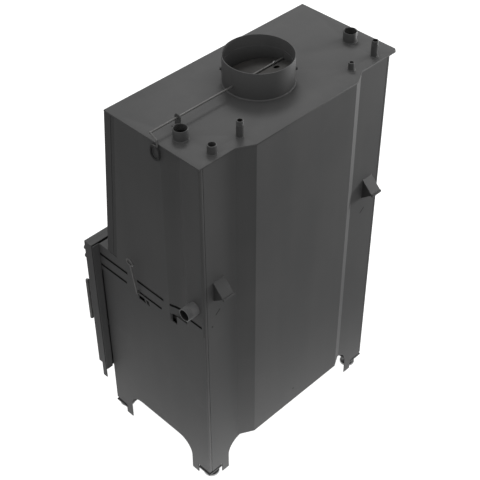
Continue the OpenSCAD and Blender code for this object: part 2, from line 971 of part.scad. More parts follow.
module air_inlet() {
    color("#3f3f40") place() difference() {
        translate([0, grate_y, inlet_low]) cylinder(h = ash_low - inlet_low, r = inlet_r);
        translate([0, grate_y, inlet_low - past]) cylinder(h = ash_low - inlet_low + 2 * past, r = inlet_r - flue_wall);
    }
}

module slider_rails() {
    len_y = [slider_y1 - rail_end, slider_y2 + air_stroke + rail_end];
    low = slot_low_h - slider_h / 2 - slide_gap;
    high = slot_low_h + slider_h / 2 + slide_gap;
    color("#4a4a4b") place() for (s = [-1, 1]) {
        edge = s < 0 ? low : high;
        span(
            [jacket_x, len_y[0], s < 0 ? edge - rail_h : edge],
            [rail_x + rail_t, len_y[1], s < 0 ? edge : edge + rail_h]
        );
        span(
            [rail_x, len_y[0], s < 0 ? edge - past : edge - rail_lip],
            [rail_x + rail_t, len_y[1], s < 0 ? edge + rail_lip : edge + past]
        );
    }
}

module air_slider() {
    color("#5a5a5b") place() difference() {
        span(
            [slider_x, slider_y1, slot_low_h - slider_h / 2],
            [slider_x + slider_t, slider_y2, slot_low_h + slider_h / 2]
        );
        bar_x([slider_x - past, duct_y - air_stroke, slot_low_h], slider_t + 2 * past, duct_r - tube_wall);
    }
}

// bent rod with a ring, reaching out of the lower slot
module air_lever() {
    foot = slider_x + slider_t;
    knee = x_side + lever_out;
    tip = [knee + lever_rise * sin(lever_lean), lever_y, slot_low_h + lever_rise * cos(lever_lean)];
    color("#77777a") place() {
        bar_x([foot, lever_y, slot_low_h], knee - foot, lever_r);
        translate([knee, lever_y, slot_low_h]) rotate([0, 90, 0])
            rotate_extrude() intersection() {
                circle(r = lever_r, $fn = 32);
                translate([0, -lever_r]) square([lever_r, 2 * lever_r]);
            }
        translate([knee, lever_y, slot_low_h]) rotate([0, lever_lean, 0]) cylinder(h = lever_rise, r = lever_r);
        translate(tip + [lever_ring_r * sin(lever_lean), 0, lever_ring_r * cos(lever_lean)])
            rotate([0, lever_lean, 0]) rotate([0, 90, 0]) rotate_extrude()
                translate([lever_ring_r, 0]) circle(r = lever_r, $fn = 32);
    }
}

module return_pipe() {
    color("#4a4a4b") place() difference() {
        bar_x([jacket_x, pipe_y, side_pipe_h], x_max - jacket_x, socket_r - slide_gap);
        bar_x([jacket_x - past, pipe_y, side_pipe_h], x_max - jacket_x + 2 * past, socket_bore);
    }
}

// two slanted plates the piece is lifted and tied by
module rear_hooks() {
    d = hook_t / sin(45);
    color("#3a3a3b") place() for (s = [-1, 1])
        yz_plate(s * hook_x - hook_w / 2, hook_w) polygon([
            [y_back, hook_h],
            [y_back, hook_h - d],
            [y_max - d / 2, hook_h - hook_out - d / 2],
            [y_max, hook_h - hook_out]
        ]);
}

module foot_places() {
    for (s = [-1, 1])
        for (y = [foot_ya, foot_yb])
            translate([s * foot_x, y, 0]) children();
}

module leg_brackets() {
    color("#38383a") place() difference() {
        for (s = [-1, 1]) {
            span(
                [s > 0 ? back_leg_x + bracket_in : -x_in, rear_leg_y, bracket_z],
                [s > 0 ? x_in : -back_leg_x - bracket_in, y_ret, bracket_z + bracket_t]
            );
            span(
                [s > 0 ? back_leg_x + bracket_in : -x_in, y_front, bracket_z],
                [s > 0 ? x_in : -back_leg_x - bracket_in, front_leg_y - bracket_short, bracket_z + bracket_t]
            );
        }
        foot_places() translate([0, 0, bracket_z - past]) cylinder(h = bracket_t + 2 * past, r = stem_r + slide_gap);
    }
}

module leg_nuts() {
    color("#8d8d90") place() foot_places() for (z = [bracket_z - nut_h, bracket_z + bracket_t])
        translate([0, 0, z]) difference() {
            cylinder(h = nut_h, r = nut_r, $fn = 6);
            translate([0, 0, -past]) cylinder(h = nut_h + 2 * past, r = stem_r);
        }
}

module levelling_feet() {
    color("#8d8d90") place() foot_places() {
        cylinder(h = foot_t, r = foot_r);
        cylinder(h = stem_top, r = stem_r);
    }
}

// the door frame is welded from a rim, a face plate and a throat around the mouth
module frame_rim() {
    rim = frame_d - t_wall;
    color("#353536") place() {
        xz_plate(frame_y + rim, rim) difference() {
            translate([-frame_x, frame_low]) square([2 * frame_x, frame_top - frame_low]);
            translate([-frame_x + t_sheet, frame_low + t_sheet])
                square([2 * (frame_x - t_sheet), frame_top - frame_low - 2 * t_sheet]);
        }
        for (s = [-1, 1]) span(
            [s > 0 ? frame_x - t_sheet : -frame_x, frame_y, frame_low - tab_drop],
            [s > 0 ? frame_x : t_sheet - frame_x, frame_y + rim, frame_low + t_sheet]
        );
    }
}

// cut away at the latch side, where the latch's tongue reaches in
module frame_face() {
    inner_x = frame_x - t_sheet;
    stile_x = spindle_x - tongue_w / 2 - pocket_clear;
    color("#353536") place() xz_plate(frame_y + t_sheet, t_sheet) difference() {
        translate([-inner_x, frame_low + t_sheet]) square([2 * inner_x, frame_top - frame_low - 2 * t_sheet]);
        translate([-open_x, open_low]) square([2 * open_x, open_top - open_low]);
        translate([stile_x, open_low]) square([inner_x, open_top - open_low]);
    }
}

module frame_throat() {
    color("#353536") place() xz_plate(y_face, frame_d - t_sheet) difference() {
        translate([-open_x - t_sheet, open_low - t_sheet])
            square([2 * open_x + 2 * t_sheet, open_top - open_low + 2 * t_sheet]);
        translate([-open_x, open_low]) square([2 * open_x, open_top - open_low]);
    }
}

module hinge_brackets() {
    color("#353536") place() for (z = [hinge_za, hinge_zb])
        for (k = [0, 2]) difference() {
            union() {
                translate([hinge_x, hinge_y, z - hinge_h / 2 + k * knuckle]) cylinder(h = knuckle, r = hinge_r);
                span(
                    [-frame_x - hinge_leaf, hinge_y, z - hinge_h / 2 + k * knuckle],
                    [-frame_x, frame_y + frame_d - 2 * t_wall, z - hinge_h / 2 + (k + 1) * knuckle]
                );
            }
            translate([hinge_x, hinge_y, z - hinge_h]) cylinder(h = 2 * hinge_h, r = pin_r);
        }
}

module hinge_pins() {
    color("#8d8d90") place() for (z = [hinge_za, hinge_zb])
        translate([hinge_x, hinge_y, z - hinge_h / 2]) {
            cylinder(h = hinge_h, r = pin_r);
            translate([0, 0, hinge_h]) cylinder(h = lip, r = hinge_r - past);
        }
}

module door_knuckles() {
    color("#353536") place() for (z = [hinge_za, hinge_zb]) difference() {
        union() {
            translate([hinge_x, hinge_y, z - knuckle / 2 + slide_gap])
                cylinder(h = knuckle - 2 * slide_gap, r = hinge_r);
            span(
                [hinge_x, door_face - hinge_leaf, z - knuckle / 2 + slide_gap],
                [hinge_x + knuckle, door_face, z + knuckle / 2 - slide_gap]
            );
        }
        translate([hinge_x, hinge_y, z - hinge_h]) cylinder(h = 2 * hinge_h, r = pin_r + run_gap);
    }
}

// a bar on the inside of the frame's rim that the tongue turns behind
module latch_keeper() {
    color("#8d8d90") place() span(
        [spindle_x + tongue_w / 2 + pocket_clear, frame_y, spindle_z - keeper_h / 2],
        [frame_x - t_sheet, frame_y + t_sheet + keeper_t, spindle_z + keeper_h / 2]
    );
}

module hood_bolts() {
    color("#77777a") place() for (s = [-1, 1])
        translate([s * bolt_x, y_ledge, ledge_h]) rotate([-lean, 0, 0]) translate([0, 0, bolt_up])
            rotate([90, 0, 0]) {
                cylinder(h = lip, r = bolt_r + lip);
                cylinder(h = bolt_h, r = bolt_r, $fn = 6);
            }
}

module door_leaf() {
    color("#333334") place() difference() {
        xz_plate(door_back, door_t) difference() {
            translate([-door_x, door_low]) square([2 * door_x, frame_top - door_low]);
            translate([-window_x, window_z1]) square([2 * window_x, window_z2 - window_z1]);
        }
        // rebate for the glass and a wider step for its clips
        span([-glass_w / 2 - slide_gap, glass_y, window_z1 - glass_over - slide_gap],
            [glass_w / 2 + slide_gap, door_back + past, window_z2 + glass_over + slide_gap]);
        span([-glass_w / 2 - step_over, glass_y + glass_t, window_z1 - glass_over - step_over],
            [glass_w / 2 + step_over, door_back + past, window_z2 + glass_over + step_over]);
        seal_ring(seal_w, door_back - seal_d, seal_d + past);
        bar_y([spindle_x, door_face - past, spindle_z], door_t + 2 * past, spindle_r + run_gap);
    }
}

// a ring around the glass on the door's rear face
module seal_ring(w, y0, d) {
    sx = glass_w / 2 + step_over + seal_off;
    z1 = window_z1 - glass_over - step_over - seal_off;
    z2 = window_z2 + glass_over + step_over + seal_off;
    xz_plate(y0 + d, d) difference() {
        translate([-sx - w, z1 - w]) square([2 * sx + 2 * w, z2 - z1 + 2 * w]);
        translate([-sx, z1]) square([2 * sx, z2 - z1]);
    }
}

module door_seal() {
    color("#cfc8ba") place() seal_ring(seal_w, door_back - seal_d, seal_d + slide_gap / 2);
}

module door_glass() {
    color("#5d6a70") place() span(
        [-glass_w / 2, glass_y, window_z1 - glass_over],
        [glass_w / 2, glass_y + glass_t, window_z2 + glass_over]
    );
}

// where the glass clips sit: two above, two below
module clip_places() {
    for (s = [-1, 1]) {
        translate([s * glass_w / 4, 0, window_z2 + glass_over]) children();
        translate([s * glass_w / 4, 0, window_z1 - glass_over]) mirror([0, 0, 1]) children();
    }
}

module glass_clips() {
    y0 = glass_y + glass_t;
    color("#77777a") place() clip_places() difference() {
        translate([-clip_w / 2, y0, -glass_over + clip_lap]) cube([clip_w, clip_t, glass_over + step_over - 2 * clip_lap]);
        bar_y([0, y0 - past, step_over / 2 - past], clip_t + 2 * past, clip_screw_r);
    }
}

module clip_screws() {
    y0 = glass_y + glass_t;
    color("#8d8d90") place() clip_places() {
        bar_y([0, y0, step_over / 2 - past], clip_t, clip_screw_r);
        bar_y([0, y0 + clip_t, step_over / 2 - past], clip_head_h, clip_head_r);
    }
}

module door_studs() {
    color("#77777a") place() for (z = [stud_za, stud_zb])
        bar_y([stud_x, door_face - stud_h, z], stud_h, stud_r);
}

// spindle through the door, arm, upright bar and the tongue behind
module latch_handle() {
    bend = bar_y + bar_r;
    color("#5c5c5e") place() {
        bar_y([spindle_x, bar_y, spindle_z], tongue_y + tongue_t - bar_y, spindle_r);
        bar_y([spindle_x, door_face - open_gap - lip, spindle_z], lip, 2 * spindle_r);
        bar_x([spindle_x, bar_y, spindle_z], bar_x - spindle_x, bar_r - lip / 2);
        translate([bar_x, bar_y, bar_z1]) cylinder(h = handle_l, r = bar_r);
        span([spindle_x - tongue_w / 2, tongue_y, spindle_z - tongue_l],
            [spindle_x + tongue_w / 2, tongue_y + tongue_t, spindle_z + tongue_w / 2]);
    }
}

// the damper's shaft axis, turned with the flap as it stands in the photo
module at_shaft() {
    translate([flue_x, flue_y, damper_z]) rotate([flap_rest, 0, 0]) children();
}

module damper_flap() {
    color("#3b3a39") place() at_shaft() difference() {
        translate([0, 0, -rod_r - flap_t]) cylinder(h = flap_t, r = flap_r);
        translate([-flap_hole_x, flap_hole_y, -flue_r]) cylinder(h = flue_d, r = flap_hole_r);
    }
}

// rod with its cranked end and its long eye, and the damper's shaft in one
module damper_rod() {
    elbow = [crank_dy, -crank_drop];
    eye = [ring_dy, -ring_drop];
    hang = eye + [ring_r * cos(45), ring_straight / 2 + ring_r * sin(45)];
    color("#77777a") place() difference() {
        union() {
            bar_x([flue_x - flue_r - t_wall, flue_y, damper_z], ring_x - flue_x + flue_r + t_wall, rod_r);
            translate([ring_x, flue_y, damper_z]) {
                ball(rod_r + slide_gap);
                yz_rod([0, 0], elbow, rod_r);
                yz_rod(elbow, hang, rod_r - slide_gap);
                for (s = [-1, 1]) translate([0, eye[0] + s * ring_r, eye[1] - ring_straight / 2])
                    cylinder(h = ring_straight, r = rod_r, $fn = 32);
                for (s = [-1, 1]) translate([0, eye[0], eye[1] + s * ring_straight / 2])
                    rotate([0, 90, 0]) rotate([0, 0, s * 90]) rotate_extrude(angle = 180)
                        translate([ring_r, 0]) circle(r = rod_r, $fn = 32);
            }
        }
        at_shaft() for (s = [-1, 1]) translate([s * screw_dx, 0, -flue_r])
            cylinder(h = flue_d, r = screw_r, $fn = 24);
    }
}

module damper_screws() {
    color("#8d8d90") place() at_shaft() for (s = [-1, 1]) translate([s * screw_dx, 0, 0]) {
        translate([0, 0, -rod_r]) cylinder(h = 2 * rod_r, r = screw_r, $fn = 24);
        translate([0, 0, rod_r]) cylinder(h = screw_head_h, r = screw_head_r, $fn = 24);
    }
}

// upright tab with an eye that the damper's rod turns in
module rod_guide() {
    color("#444445") place() difference() {
        union() {
            span([guide_x, flue_y - guide_w / 2, body_h], [guide_x + guide_t, flue_y + guide_w / 2, damper_z]);
            bar_x([guide_x, flue_y, damper_z], guide_t, guide_w / 2);
            span([guide_x, flue_y - guide_w / 2, body_h],
                [guide_x + guide_t + guide_over, flue_y + guide_w / 2, body_h + guide_t]);
        }
        bar_x([guide_x - past, flue_y, damper_z], guide_t + 2 * past, rod_r + run_gap);
    }
}

top_plate();
flue_collar();
supply_sockets();
vent_socket();
sensor_pocket();
loop_ends();
cooling_loop();
back_plate();
side_panel_right();
side_panel_left();
lower_side_right();
lower_side_left();
hood_front();
ledge_plate();
front_plate();
base_plate();
jacket_sides();
shell_sides();
shell_back();
shell_floor();
shell_throat();
tube_sheets();
smoke_tubes();
ash_box();
ash_pan();
hearth_slab();
grate();
lining_back();
lining_sides();
baffle();
air_tube();
air_inlet();
slider_rails();
air_slider();
air_lever();
return_pipe();
rear_hooks();
leg_brackets();
leg_nuts();
levelling_feet();
frame_rim();
frame_face();
frame_throat();
hinge_brackets();
hinge_pins();
latch_keeper();
hood_bolts();
door_leaf();
door_knuckles();
door_glass();
glass_clips();
clip_screws();
door_seal();
door_studs();
latch_handle();
damper_flap();
damper_rod();
damper_screws();
rod_guide();
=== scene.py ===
# %% [markdown]
# A boiler fireplace insert seen from behind, from its right side and from above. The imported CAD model
# is the fixed frame: every piece made here sits on it, in metres, in the same coordinates.

import json
import math

import bmesh
import bpy
from mathutils import Matrix, Vector


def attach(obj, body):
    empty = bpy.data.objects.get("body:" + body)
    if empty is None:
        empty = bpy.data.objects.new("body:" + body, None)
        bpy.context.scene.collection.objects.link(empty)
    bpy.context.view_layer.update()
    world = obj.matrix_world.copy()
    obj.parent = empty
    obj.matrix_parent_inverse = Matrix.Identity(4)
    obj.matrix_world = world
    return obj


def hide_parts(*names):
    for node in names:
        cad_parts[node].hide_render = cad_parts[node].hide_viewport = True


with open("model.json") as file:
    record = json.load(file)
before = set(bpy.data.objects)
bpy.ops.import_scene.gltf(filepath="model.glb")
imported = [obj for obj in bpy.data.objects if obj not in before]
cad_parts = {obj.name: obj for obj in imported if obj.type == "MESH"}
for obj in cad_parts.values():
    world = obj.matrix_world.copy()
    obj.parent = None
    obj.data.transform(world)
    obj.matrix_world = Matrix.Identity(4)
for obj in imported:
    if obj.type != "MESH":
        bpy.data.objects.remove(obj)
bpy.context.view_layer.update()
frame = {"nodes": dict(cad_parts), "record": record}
nodes = frame["nodes"]
print("nodes loaded:", len(nodes))

# %% [markdown]
# The part's source counts in millimetres from the middle of the body. The frame counts in metres from
# the middle of everything, door and hooks included, so one function takes a point from there to here.
# The places below are used more than once.

# %% Places in the source's own millimetres
ORIGIN_X, ORIGIN_Y = 5.5, -64.75


def mm(x, y, z):
    """A point given in the source's own millimetres."""
    return Vector(((x - ORIGIN_X) / 1000.0, (y - ORIGIN_Y) / 1000.0, z / 1000.0))


SIDE_X = 379.0
HOOD_LOW, HOOD_HIGH, HOOD_RUN = 757.5, 1294.8, 50.0 / 536.0
TOP_Z = 1300
COLLAR_X, COLLAR_Y, COLLAR_R = -15, 9, 102.25
SHAFT_Z, SADDLE_X = 1327, 62
HOOK_X = 321
LATCH_X, LATCH_Y, LATCH_Z = 370, -352, 405

# Two supplies, the vent, the sensor pocket and the cooling loop's two ends: x, y, outer radius.
SOCKETS = ((320.5, 54, 21), (-350.5, 54, 21), (308, 157.5, 13), (-236, 157.5, 9), (207, 157.5, 10), (-336, 157.5, 10))
SOCKET_SPOTS = [mm(x, y, 0) for x, y, _ in SOCKETS]
FOOT_SPOTS = [mm(x, y, 0) for x in (-342, 342) for y in (155, -269)]
print("places set:", len(SOCKET_SPOTS), "sockets and", len(FOOT_SPOTS), "feet")

# %% [markdown]
# Every surface gets its look from shader nodes. Writing them as sums and products keeps a material
# readable, so a small class wraps a node socket and turns arithmetic into Math nodes.

# %% A socket that can be added and multiplied
class Sock:
    """One output of a shader node. Arithmetic on it makes Math nodes."""

    def __init__(self, paint, out):
        self.paint = paint
        self.out = out

    def math(self, kind, *values):
        return self.paint.node("ShaderNodeMath", {"operation": kind}, *values)

    def __add__(self, other):
        return self.math("ADD", self, other)

    def __sub__(self, other):
        return self.math("SUBTRACT", self, other)

    def __rsub__(self, other):
        return self.math("SUBTRACT", other, self)

    def __mul__(self, other):
        return self.math("MULTIPLY", self, other)

    def power(self, other):
        return self.math("POWER", self, other)

    def size(self):
        return self.math("ABSOLUTE", self)

    def highest(self, other):
        return self.math("MAXIMUM", self, other)

    def wave(self):
        return self.math("SINE", self)

    def step(self, low, high):
        """0 below low, 1 above high, smooth between. With low above high it runs the other way."""
        return self.paint.node("ShaderNodeMapRange", {"interpolation_type": "SMOOTHSTEP"}, self, low, high)

    def mix(self, first, second):
        """The colour first where this is 0 and second where it is 1."""
        return self.paint.node("ShaderNodeMix", {"data_type": "RGBA"}, A=first, B=second, Factor=self)


# %% A node tree with one method for its nodes
class Paint:
    """A material's or a world's nodes, and short ways to make those that feed its shader."""

    INPUTS = {"color": "Base Color", "rough": "Roughness", "metal": "Metallic", "alpha": "Alpha",
              "specular": "Specular IOR Level"}

    def __init__(self, name, kind="materials", shader="Principled BSDF", place="Object"):
        self.owner = getattr(bpy.data, kind).new(name)
        self.owner.use_nodes = True
        self.tree = self.owner.node_tree
        self.shader = self.tree.nodes[shader]
        self.place = self.node("ShaderNodeTexCoord", {}, out=place)

    def node(self, kind, settings=None, *values, out=None, **named):
        """Adds a node: its settings first, then values or links by place or by name."""
        made = self.tree.nodes.new(kind)
        for key, value in (settings or {}).items():
            setattr(made, key, value)
        open_inputs = [s for s in made.inputs if s.enabled]
        for socket, value in zip(open_inputs, values):
            self.feed(socket, value)
        for key, value in named.items():
            self.feed([s for s in open_inputs if s.name == key][0], value)
        outputs = [s for s in made.outputs if s.enabled and (out is None or s.name == out)]
        return Sock(self, outputs[0])

    def feed(self, socket, value):
        """Links a Sock to the input, or writes a number or a colour into it."""
        if isinstance(value, Sock):
            self.tree.links.new(value.out, socket)
        elif hasattr(value, "__len__") and len(socket.default_value) == 4:
            socket.default_value = (*value[:3], 1.0)
        else:
            socket.default_value = value

    def stretched(self, x, y, z):
        """The object's coordinates, scaled along each axis."""
        return self.node("ShaderNodeMapping", {}, Vector=self.place, Scale=(x, y, z))

    def noise(self, scale, detail=2.0, rough=0.5, where=None):
        return self.node("ShaderNodeTexNoise", {}, Vector=where or self.place, Scale=scale, Detail=detail,
                         Roughness=rough)

    def cells(self, scale, feature="F1", where=None, out="Distance"):
        return self.node("ShaderNodeTexVoronoi", {"feature": feature}, Vector=where or self.place, Scale=scale,
                         out=out)

    def axis(self, name):
        """One of the coordinates."""
        return self.node("ShaderNodeSeparateXYZ", {}, self.place, out=name)

    def facing(self, name):
        """One part of the surface's normal."""
        normal = self.node("ShaderNodeNewGeometry", {}, out="Normal")
        return self.node("ShaderNodeSeparateXYZ", {}, normal, out=name)

    def channel(self, colour, name):
        """One channel of a colour."""
        return self.node("ShaderNodeSeparateColor", {}, colour, out=name)

    def camera_ray(self):
        """1 for what the camera sees directly. Only the white studio uses it."""
        return self.node("ShaderNodeLightPath", {}, out="Is Camera Ray")

    def bump(self, height, distance, strength=1.0):
        raised = self.node("ShaderNodeBump", {}, Height=height, Distance=distance, Strength=strength)
        self.feed(self.shader.inputs["Normal"], raised)

    def set(self, **values):
        for key, value in values.items():
            self.feed(self.shader.inputs[self.INPUTS[key]], value)
        return self


def grey(tone, warm=0.0):
    """A grey of one tone, a little warmer or cooler."""
    return (tone * (1.0 + warm), tone, tone * (1.0 - warm))


print("node helpers ready")

# %% [markdown]
# Nearly all of the outside is sheet steel under one matt, heat-resistant spray paint. Such paint dries
# to a fine grain, with faint clouds where the gun passed twice, and runs a little thinner in faint
# upright passes. Dust settles on whatever looks up, and the same mask paints the faces that look up
# lighter, as painted light from above.

# %% Sprayed anthracite paint
PAINT_TONE = 0.072
MARK_TONE, MARK_BLUR = 0.008, 0.0008


def marks(made, spots, axis):
    """A mask that is 1 inside each small mark: (place, z, half length, half height, slope)."""
    mask = None
    for place, z, long, high, slope in spots:
        along = made.axis(axis) - place
        lift = made.axis("Z") - z - along * slope
        one = (along.size().step(long + MARK_BLUR, long - MARK_BLUR)
               * lift.size().step(high + MARK_BLUR, high - MARK_BLUR))
        mask = one if mask is None else mask.highest(one)
    return mask


def spray_paint(name, tone, rough=0.62, cloud=0.10, grain=0.00010, dust_and_top_light=0.05, spots=None, axis="X"):
    """Matt paint of one tone, with small dark marks where spots says."""
    made = Paint(name)
    clouds = made.noise(2.6, 3.0, 0.55)
    passes = made.noise(1.0, 2.0, 0.6, made.stretched(11.0, 11.0, 1.1))
    smudge = made.noise(9.0, 4.0, 0.62).step(0.56, 0.78)
    shade = clouds * 0.6 + passes * 0.4
    dark = grey(tone * (1.0 - cloud), -0.006)
    light = grey(tone * (1.0 + cloud), 0.002)
    base = shade.step(0.32, 0.68).mix(dark, light)
    # Faces that look up turn lighter in patches: settled dust, and painted light from above.
    settled_and_top_lit = made.facing("Z").step(0.6, 0.98) * made.noise(34.0, 4.0, 0.6).step(0.35, 0.75) * dust_and_top_light
    coated_and_top_lit = settled_and_top_lit.mix(base, grey(tone * 2.1, 0.03))
    if spots:
        coated_and_top_lit = marks(made, spots, axis).mix(coated_and_top_lit, grey(MARK_TONE))
    made.set(color=coated_and_top_lit, specular=0.40)
    made.set(rough=shade * 0.12 + smudge * -0.05 + (rough - 0.05))
    peel = made.noise(420.0, 2.0, 0.5)
    grit = made.cells(760.0).step(0.10, 0.50)
    made.bump(peel * 0.6 + grit * 0.4, grain, 0.5)
    return made.owner


# Two short slanted dark marks and two small dark dots on the back.
BACK_MARKS = [(x, 0.755, 0.009, 0.0028, -0.8) for x in (0.3195, -0.3145)]
BACK_MARKS += [(x, z, 0.003, 0.003, 0.0) for x, z in ((0.3425, 0.7095), (0.0095, 0.190))]

# Painted shade round the slots in the side panels, a dark band a little longer and taller than each slot. The slots:
# from y, to y, height.
SLOTS = ((-280, -153, 717), (-108, 9, 717), (37, 172, 717), (-280, -160, 674), (-107, -2, 674))
SLOT_SHADE_BANDS = [(mm(0, (start + end) / 2, 0).y, z / 1000, (end - start) / 2000 + 0.001, 0.0052, 0.0)
              for start, end, z in SLOTS]

outer = spray_paint("anthracite_paint", PAINT_TONE, dust_and_top_light=0.03)
hook_paint = spray_paint("hook_paint", 0.054)
back_paint = spray_paint("back_plate_paint", PAINT_TONE, spots=BACK_MARKS)
# The side panels' paint darkens a band round each slot: painted shade that makes the slots read wider.
side_paint_slot_shade = spray_paint("side_panel_paint", PAINT_TONE, spots=SLOT_SHADE_BANDS, axis="Y")
# The hood's edge strips take a darker copy of the outer paint: painted shade along the hood's edge.
strip_painted_shade = spray_paint("edge_strip_paint", 0.052)
# The hook webs are painted darker than the rest: painted shade in the wedge under each hook.
web_paint = spray_paint("web_paint", 0.036)
pipe_paint = spray_paint("pipe_paint", 0.15, rough=0.45)
plate_paint = spray_paint("dark_plate_paint", 0.058, rough=0.7)
socket_paint = spray_paint("socket_paint", 0.062, rough=0.52, cloud=0.12, grain=0.00014)
print("paints:", outer.name, plate_paint.name, socket_paint.name)

# %% [markdown]
# The damper's rod and the air lever are bare drawn bar: a light grey metal with fine lines along it,
# a little tarnished. The ring that hangs from the rod was dipped dark. Nuts, feet and pins are zinc
# plated, which shows small dull patches. Threads are dark with oil; the same near-black is painted
# shade inside the bores of the sockets and pipe ends, and in the recesses under the legs.

# %% Bare and plated steel
DIPPED_LOW, DIPPED_HIGH = 1.20, 1.30


def drawn_steel(name, tone, rough, patch=0.25):
    """Bare drawn bar, dark between the heights where the ring hangs."""
    made = Paint(name)
    lines = made.noise(1.0, 3.0, 0.6, made.stretched(60.0, 700.0, 700.0))
    tarnish = made.noise(38.0, 4.0, 0.6).step(0.42, 0.72)
    bare = (tarnish * patch).mix(grey(tone, 0.01), grey(tone * 0.45, 0.08))
    dipped = (made.axis("Z").step(DIPPED_HIGH, DIPPED_HIGH - 0.01)
              * made.axis("Z").step(DIPPED_LOW, DIPPED_LOW + 0.01))
    made.set(color=dipped.mix(bare, grey(0.03)), metal=0.45)
    made.set(rough=lines * 0.16 + tarnish * 0.14 + (rough - 0.08))
    made.bump(lines, 0.00005, 0.5)
    return made.owner


def oiled_thread(name):
    """Nearly black, with a film of oil. It also serves as painted shade inside bores and recesses."""
    made = Paint(name)
    film = made.noise(55.0, 3.0, 0.6)
    made.set(color=film.mix(grey(0.006), grey(0.022, 0.05)), rough=film * 0.2 + 0.5)
    made.bump(made.noise(300.0, 2.0, 0.5), 0.0001, 0.4)
    return made.owner


def zinc_plate(name, tone, rough):
    """Zinc with small crystals and dull stains."""
    made = Paint(name)
    patch = made.channel(made.cells(240.0, out="Color"), "Red")
    stain = made.noise(22.0, 4.0, 0.6).step(0.5, 0.8)
    tint = (patch * 0.5 + stain * 0.4).mix(grey(tone, -0.01), grey(tone * 0.68, 0.03))
    made.set(color=tint, metal=0.9, rough=patch * 0.14 + stain * 0.2 + rough)
    made.bump(made.noise(600.0, 2.0, 0.5), 0.00004, 0.5)
    return made.owner


# Near-black for oiled thread, and painted shade inside bores and recesses.
thread_oil_and_painted_shade = oiled_thread("oiled_thread")
rod_steel = drawn_steel("drawn_rod_steel", 0.15, 0.5)
bright_steel = zinc_plate("zinc_plated_steel", 0.33, 0.28)
print("metals:", rod_steel.name, bright_steel.name, thread_oil_and_painted_shade.name)

# %% [markdown]
# Inside, the fire has the say. Boiler plate goes dull and brown-black with soot; the boards that line
# the firebox are pressed from flakes of vermiculite, and the hearth is a rough fired slab. The cooling
# loop is copper tube that has gone a little brown.

# %% Surfaces inside the firebox and the jacket
def sooty_steel(name, tone):
    """Boiler plate with soot, scale and a little rust."""
    made = Paint(name)
    soot = made.noise(6.0, 5.0, 0.62)
    scale = made.noise(75.0, 5.0, 0.66)
    rust = made.noise(14.0, 5.0, 0.7).step(0.60, 0.78)
    base = soot.step(0.3, 0.7).mix(grey(tone * 0.6, 0.03), grey(tone * 1.4, 0.04))
    made.set(color=(rust * 0.35).mix(base, (0.12, 0.065, 0.04)), metal=0.35)
    made.set(rough=soot * 0.2 + scale * 0.1 + 0.62)
    made.bump(scale * 0.7 + soot * 0.3, 0.0005, 0.6)
    return made.owner


def pressed_board(name, pale, brown):
    """Flakes of two tones under pressure, scorched towards the top."""
    made = Paint(name)
    flat = made.stretched(1.0, 1.0, 1.6)
    tone = made.channel(made.cells(170.0, out="Color", where=flat), "Green")
    edges = made.cells(170.0, feature="DISTANCE_TO_EDGE", where=flat).step(0.0, 0.12)
    scorch = (made.axis("Z") * 1.4 + made.noise(5.0, 4.0, 0.6) * 0.8).step(0.75, 1.55)
    base = tone.mix(pale, brown)
    made.set(color=(scorch * 0.55).mix(base, (0.10, 0.085, 0.07)), rough=tone * 0.1 + 0.85)
    made.bump(edges * 0.6 + tone * 0.4, 0.0006, 0.7)
    return made.owner


def fired_clay(name):
    """Clay with coarse grog and open pores."""
    made = Paint(name)
    grog = made.cells(120.0).step(0.18, 0.5)
    cloud = made.noise(8.0, 4.0, 0.6)
    pores = made.noise(260.0, 3.0, 0.6).step(0.36, 0.46)
    tint = (grog * 0.4 + cloud * 0.5).mix((0.30, 0.235, 0.17), (0.46, 0.38, 0.29))
    made.set(color=tint, rough=cloud * 0.1 + 0.85)
    made.bump(grog * 0.4 + pores * 0.6, 0.0006, 0.7)
    return made.owner


def tarnished_copper(name):
    """Copper, brown in patches."""
    made = Paint(name)
    stain = made.noise(20.0, 5.0, 0.62).step(0.35, 0.7)
    made.set(color=stain.mix((0.72, 0.38, 0.24), (0.36, 0.19, 0.12)), metal=1.0, rough=stain * 0.25 + 0.22)
    made.bump(made.noise(180.0, 3.0, 0.5), 0.0001, 0.4)
    return made.owner


inner_steel = sooty_steel("sooty_boiler_steel", 0.05)
board = pressed_board("vermiculite_board", (0.62, 0.50, 0.34), (0.40, 0.30, 0.19))
clay = fired_clay("hearth_clay")
copper = tarnished_copper("tarnished_copper")
print("inner surfaces:", inner_steel.name, board.name, clay.name, copper.name)

# %% [markdown]
# The door's pane is clear glass-ceramic with a black printed border that hides the clips and the rope.
# Printed borders end in rows of dots. The rope itself is braided glass yarn.

# %% The pane and the rope
PANE_X, PANE_LOW, PANE_TOP, PANE_BORDER = 0.321, 0.280, 0.700, 0.024
DOT_FADE, BRAID = 0.010, 1500.0


def printed_pane(name):
    """Glass with a printed border, a row of dots inside it and haze towards the top."""
    made = Paint(name)
    up = made.axis("Z")
    side = (made.axis("X") + ORIGIN_X / 1000.0).size() - (PANE_X - PANE_BORDER)
    top = up - (PANE_TOP - PANE_BORDER)
    low = (PANE_LOW + PANE_BORDER) - up
    inside = side.highest(top).highest(low)
    dots = made.cells(170.0, where=made.stretched(1.0, 0.0, 1.0))
    solid = inside.step(-0.0005, 0.0005)
    fade = inside.step(-DOT_FADE, 0.0) * dots.step(0.42, 0.30)
    border = solid.highest(fade)
    haze = made.noise(7.0, 4.0, 0.6) * up.step(0.2, 0.75)
    made.set(color=border.mix((0.33, 0.35, 0.35), (0.012, 0.012, 0.013)), specular=0.5)
    made.set(rough=haze * 0.12 + border * 0.10 + 0.03, alpha=border * 0.62 + haze * 0.22 + 0.30)
    made.bump(made.noise(3.0, 1.0, 0.5), 0.0002, 0.15)
    return made.owner


